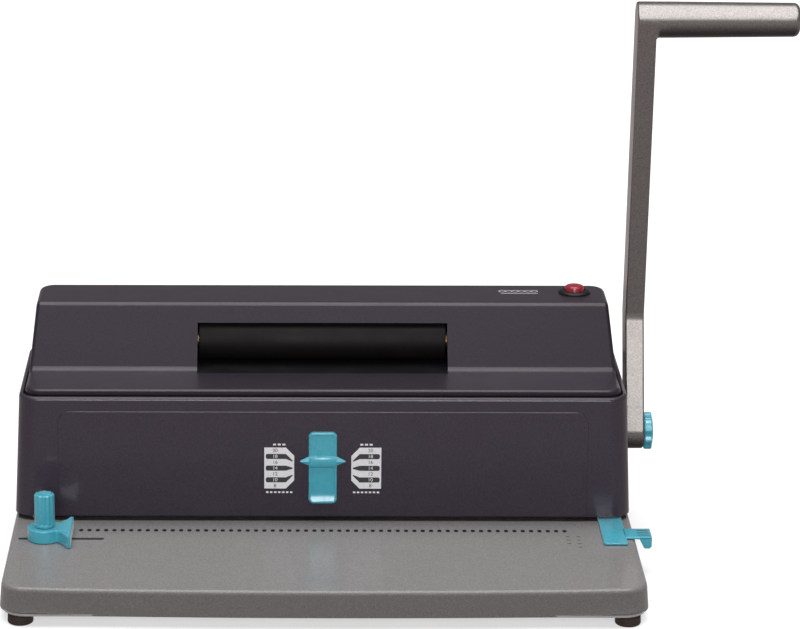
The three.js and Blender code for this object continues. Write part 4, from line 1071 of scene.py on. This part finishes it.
pan = base_pan()
bed_marks()
feet()
for corner in ("front_left", "front_right", "rear_left", "rear_right"):
    cross_screw(f"bottom_screw_{corner}", f"base_screw_{corner}", "z", -1)
housing()
cover = top_cover()
rear_cover()
for number in range(1, 5):
    cross_screw(f"cover_screw_{number}", f"rear_screw_{number}", "y", 1)
power_inlet()
casting = lever()
hub_knob()
depth_selector()
SCALE_VALUES = ["8", "10", "12", "14", "16", "18", "20"]
scale_label("left", -1, SCALE_VALUES)
scale_label("right", 1, SCALE_VALUES)
edge_guide()
side_stop()
chip_tray()
run_button()
run_pictogram()
roller()
for side in ("left", "right"):
    return_spring(side)
button_spring()

for name, node in frame["nodes"].items():
    node.data.materials.clear()
    node.data.materials.append(MATERIALS[SLOT_OF[name]])


# ---------------------------------------------------------------- studio

CAMERA_PITCH = 16.4
CAMERA_TURN = 0.38
CAMERA_X = -21.2
CAMERA_Y = -1956.2
CAMERA_Z = 730.4
CAMERA_SHIFT = 0.1676
FOCAL_WIDTHS = 4.3
SENSOR_WIDTH = 36.0


def studio(casting, pan, cover):
    floor_material = surface(
        "studio_floor", (0.50, 0.50, 0.50), (0.53, 0.53, 0.53), 60.0, 0.4, (0.8, 0.9), bump=0.01,
        specular=0.1, glow=1.0)
    mesh = bpy.data.meshes.new("studio_floor")
    size = 8.0
    corners = [(-size, -size, 0), (size, -size, 0), (size, size, 0), (-size, size, 0)]
    mesh.from_pydata(corners, [], [(0, 1, 2, 3)])
    mesh.materials.append(floor_material)
    floor = bpy.data.objects.new("studio_floor", mesh)
    bpy.context.collection.objects.link(floor)
    floor.visible_diffuse = False
    floor.visible_glossy = False

    world = bpy.data.worlds.new("studio")
    world.use_nodes = True
    tree = world.node_tree
    place = tree.nodes.new("ShaderNodeTexCoord")
    parts = tree.nodes.new("ShaderNodeSeparateXYZ")
    tree.links.new(place.outputs["Generated"], parts.inputs["Vector"])
    ramp = tree.nodes.new("ShaderNodeValToRGB")
    tree.links.new(spread(tree, parts.outputs["Z"], -1, 1), ramp.inputs["Fac"])
    stops = [
        (0.0, 0.05, 0.92), (0.25, 0.42, 0.90), (0.36, 0.66, 0.90), (0.5, 0.42, 0.94),
        (0.62, 0.20, 0.98), (0.72, 0.18, 0.98), (0.85, 0.30, 0.98), (1.0, 0.30, 0.98)]
    while len(ramp.color_ramp.elements) < len(stops):
        ramp.color_ramp.elements.new(0.5)
    for element, (height, level, tint) in zip(ramp.color_ramp.elements, stops):
        element.position = height
        element.color = (level, level * tint, level * tint, 1)
    tree.links.new(ramp.outputs["Color"], tree.nodes["Background"].inputs["Color"])
    bpy.context.scene.world = world
    bpy.context.scene.view_settings.view_transform = "Standard"

    def soft_sun(name, elevation, azimuth, width, strength):
        """A wide even light; azimuth 0 is straight in front."""
        light = bpy.data.lights.new(name, "SUN")
        light.angle = math.radians(width)
        light.energy = strength
        lamp = bpy.data.objects.new(name, light)
        bpy.context.collection.objects.link(lamp)
        up, turn = math.radians(elevation), math.radians(azimuth)
        towards = Vector((
            math.sin(turn) * math.cos(up), -math.cos(turn) * math.cos(up), math.sin(up)))
        lamp.rotation_euler = towards.to_track_quat("Z", "Y").to_euler()
        lamp.location = towards * 2
        return lamp

    overhead = soft_sun("overhead", 88, 0, 56, 2.85)
    front_fill = soft_sun("front_fill", 21, 0, 24, 1.9)
    lever_light = soft_sun("lever_light", 65, 0, 104, 8.0)

    def link(lamp, pieces, state):
        """Shines the lamp on the pieces alone, or on everything but them."""
        group = bpy.data.collections.new(f"{lamp.name}_pieces")
        for number, piece in enumerate(pieces):
            group.objects.link(piece)
            group.collection_objects[number].light_linking.link_state = state
        lamp.light_linking.receiver_collection = group

    link(overhead, [casting], "EXCLUDE")
    link(front_fill, [casting, pan, cover], "EXCLUDE")
    link(lever_light, [casting], "INCLUDE")


def camera():
    lens = bpy.data.cameras.new("camera")
    lens.sensor_width = SENSOR_WIDTH
    lens.lens = SENSOR_WIDTH * FOCAL_WIDTHS
    lens.shift_x = CAMERA_SHIFT
    lens.shift_y = 0.0
    lens.clip_start = 0.05
    lens.clip_end = 50
    thing = bpy.data.objects.new("camera", lens)
    bpy.context.collection.objects.link(thing)
    thing.location = (CAMERA_X * MM + MIDDLE_X, CAMERA_Y * MM, CAMERA_Z * MM)
    thing.rotation_euler = (math.radians(90 - CAMERA_PITCH), 0, math.radians(CAMERA_TURN))
    bpy.context.scene.camera = thing


studio(casting, pan, cover)
camera()
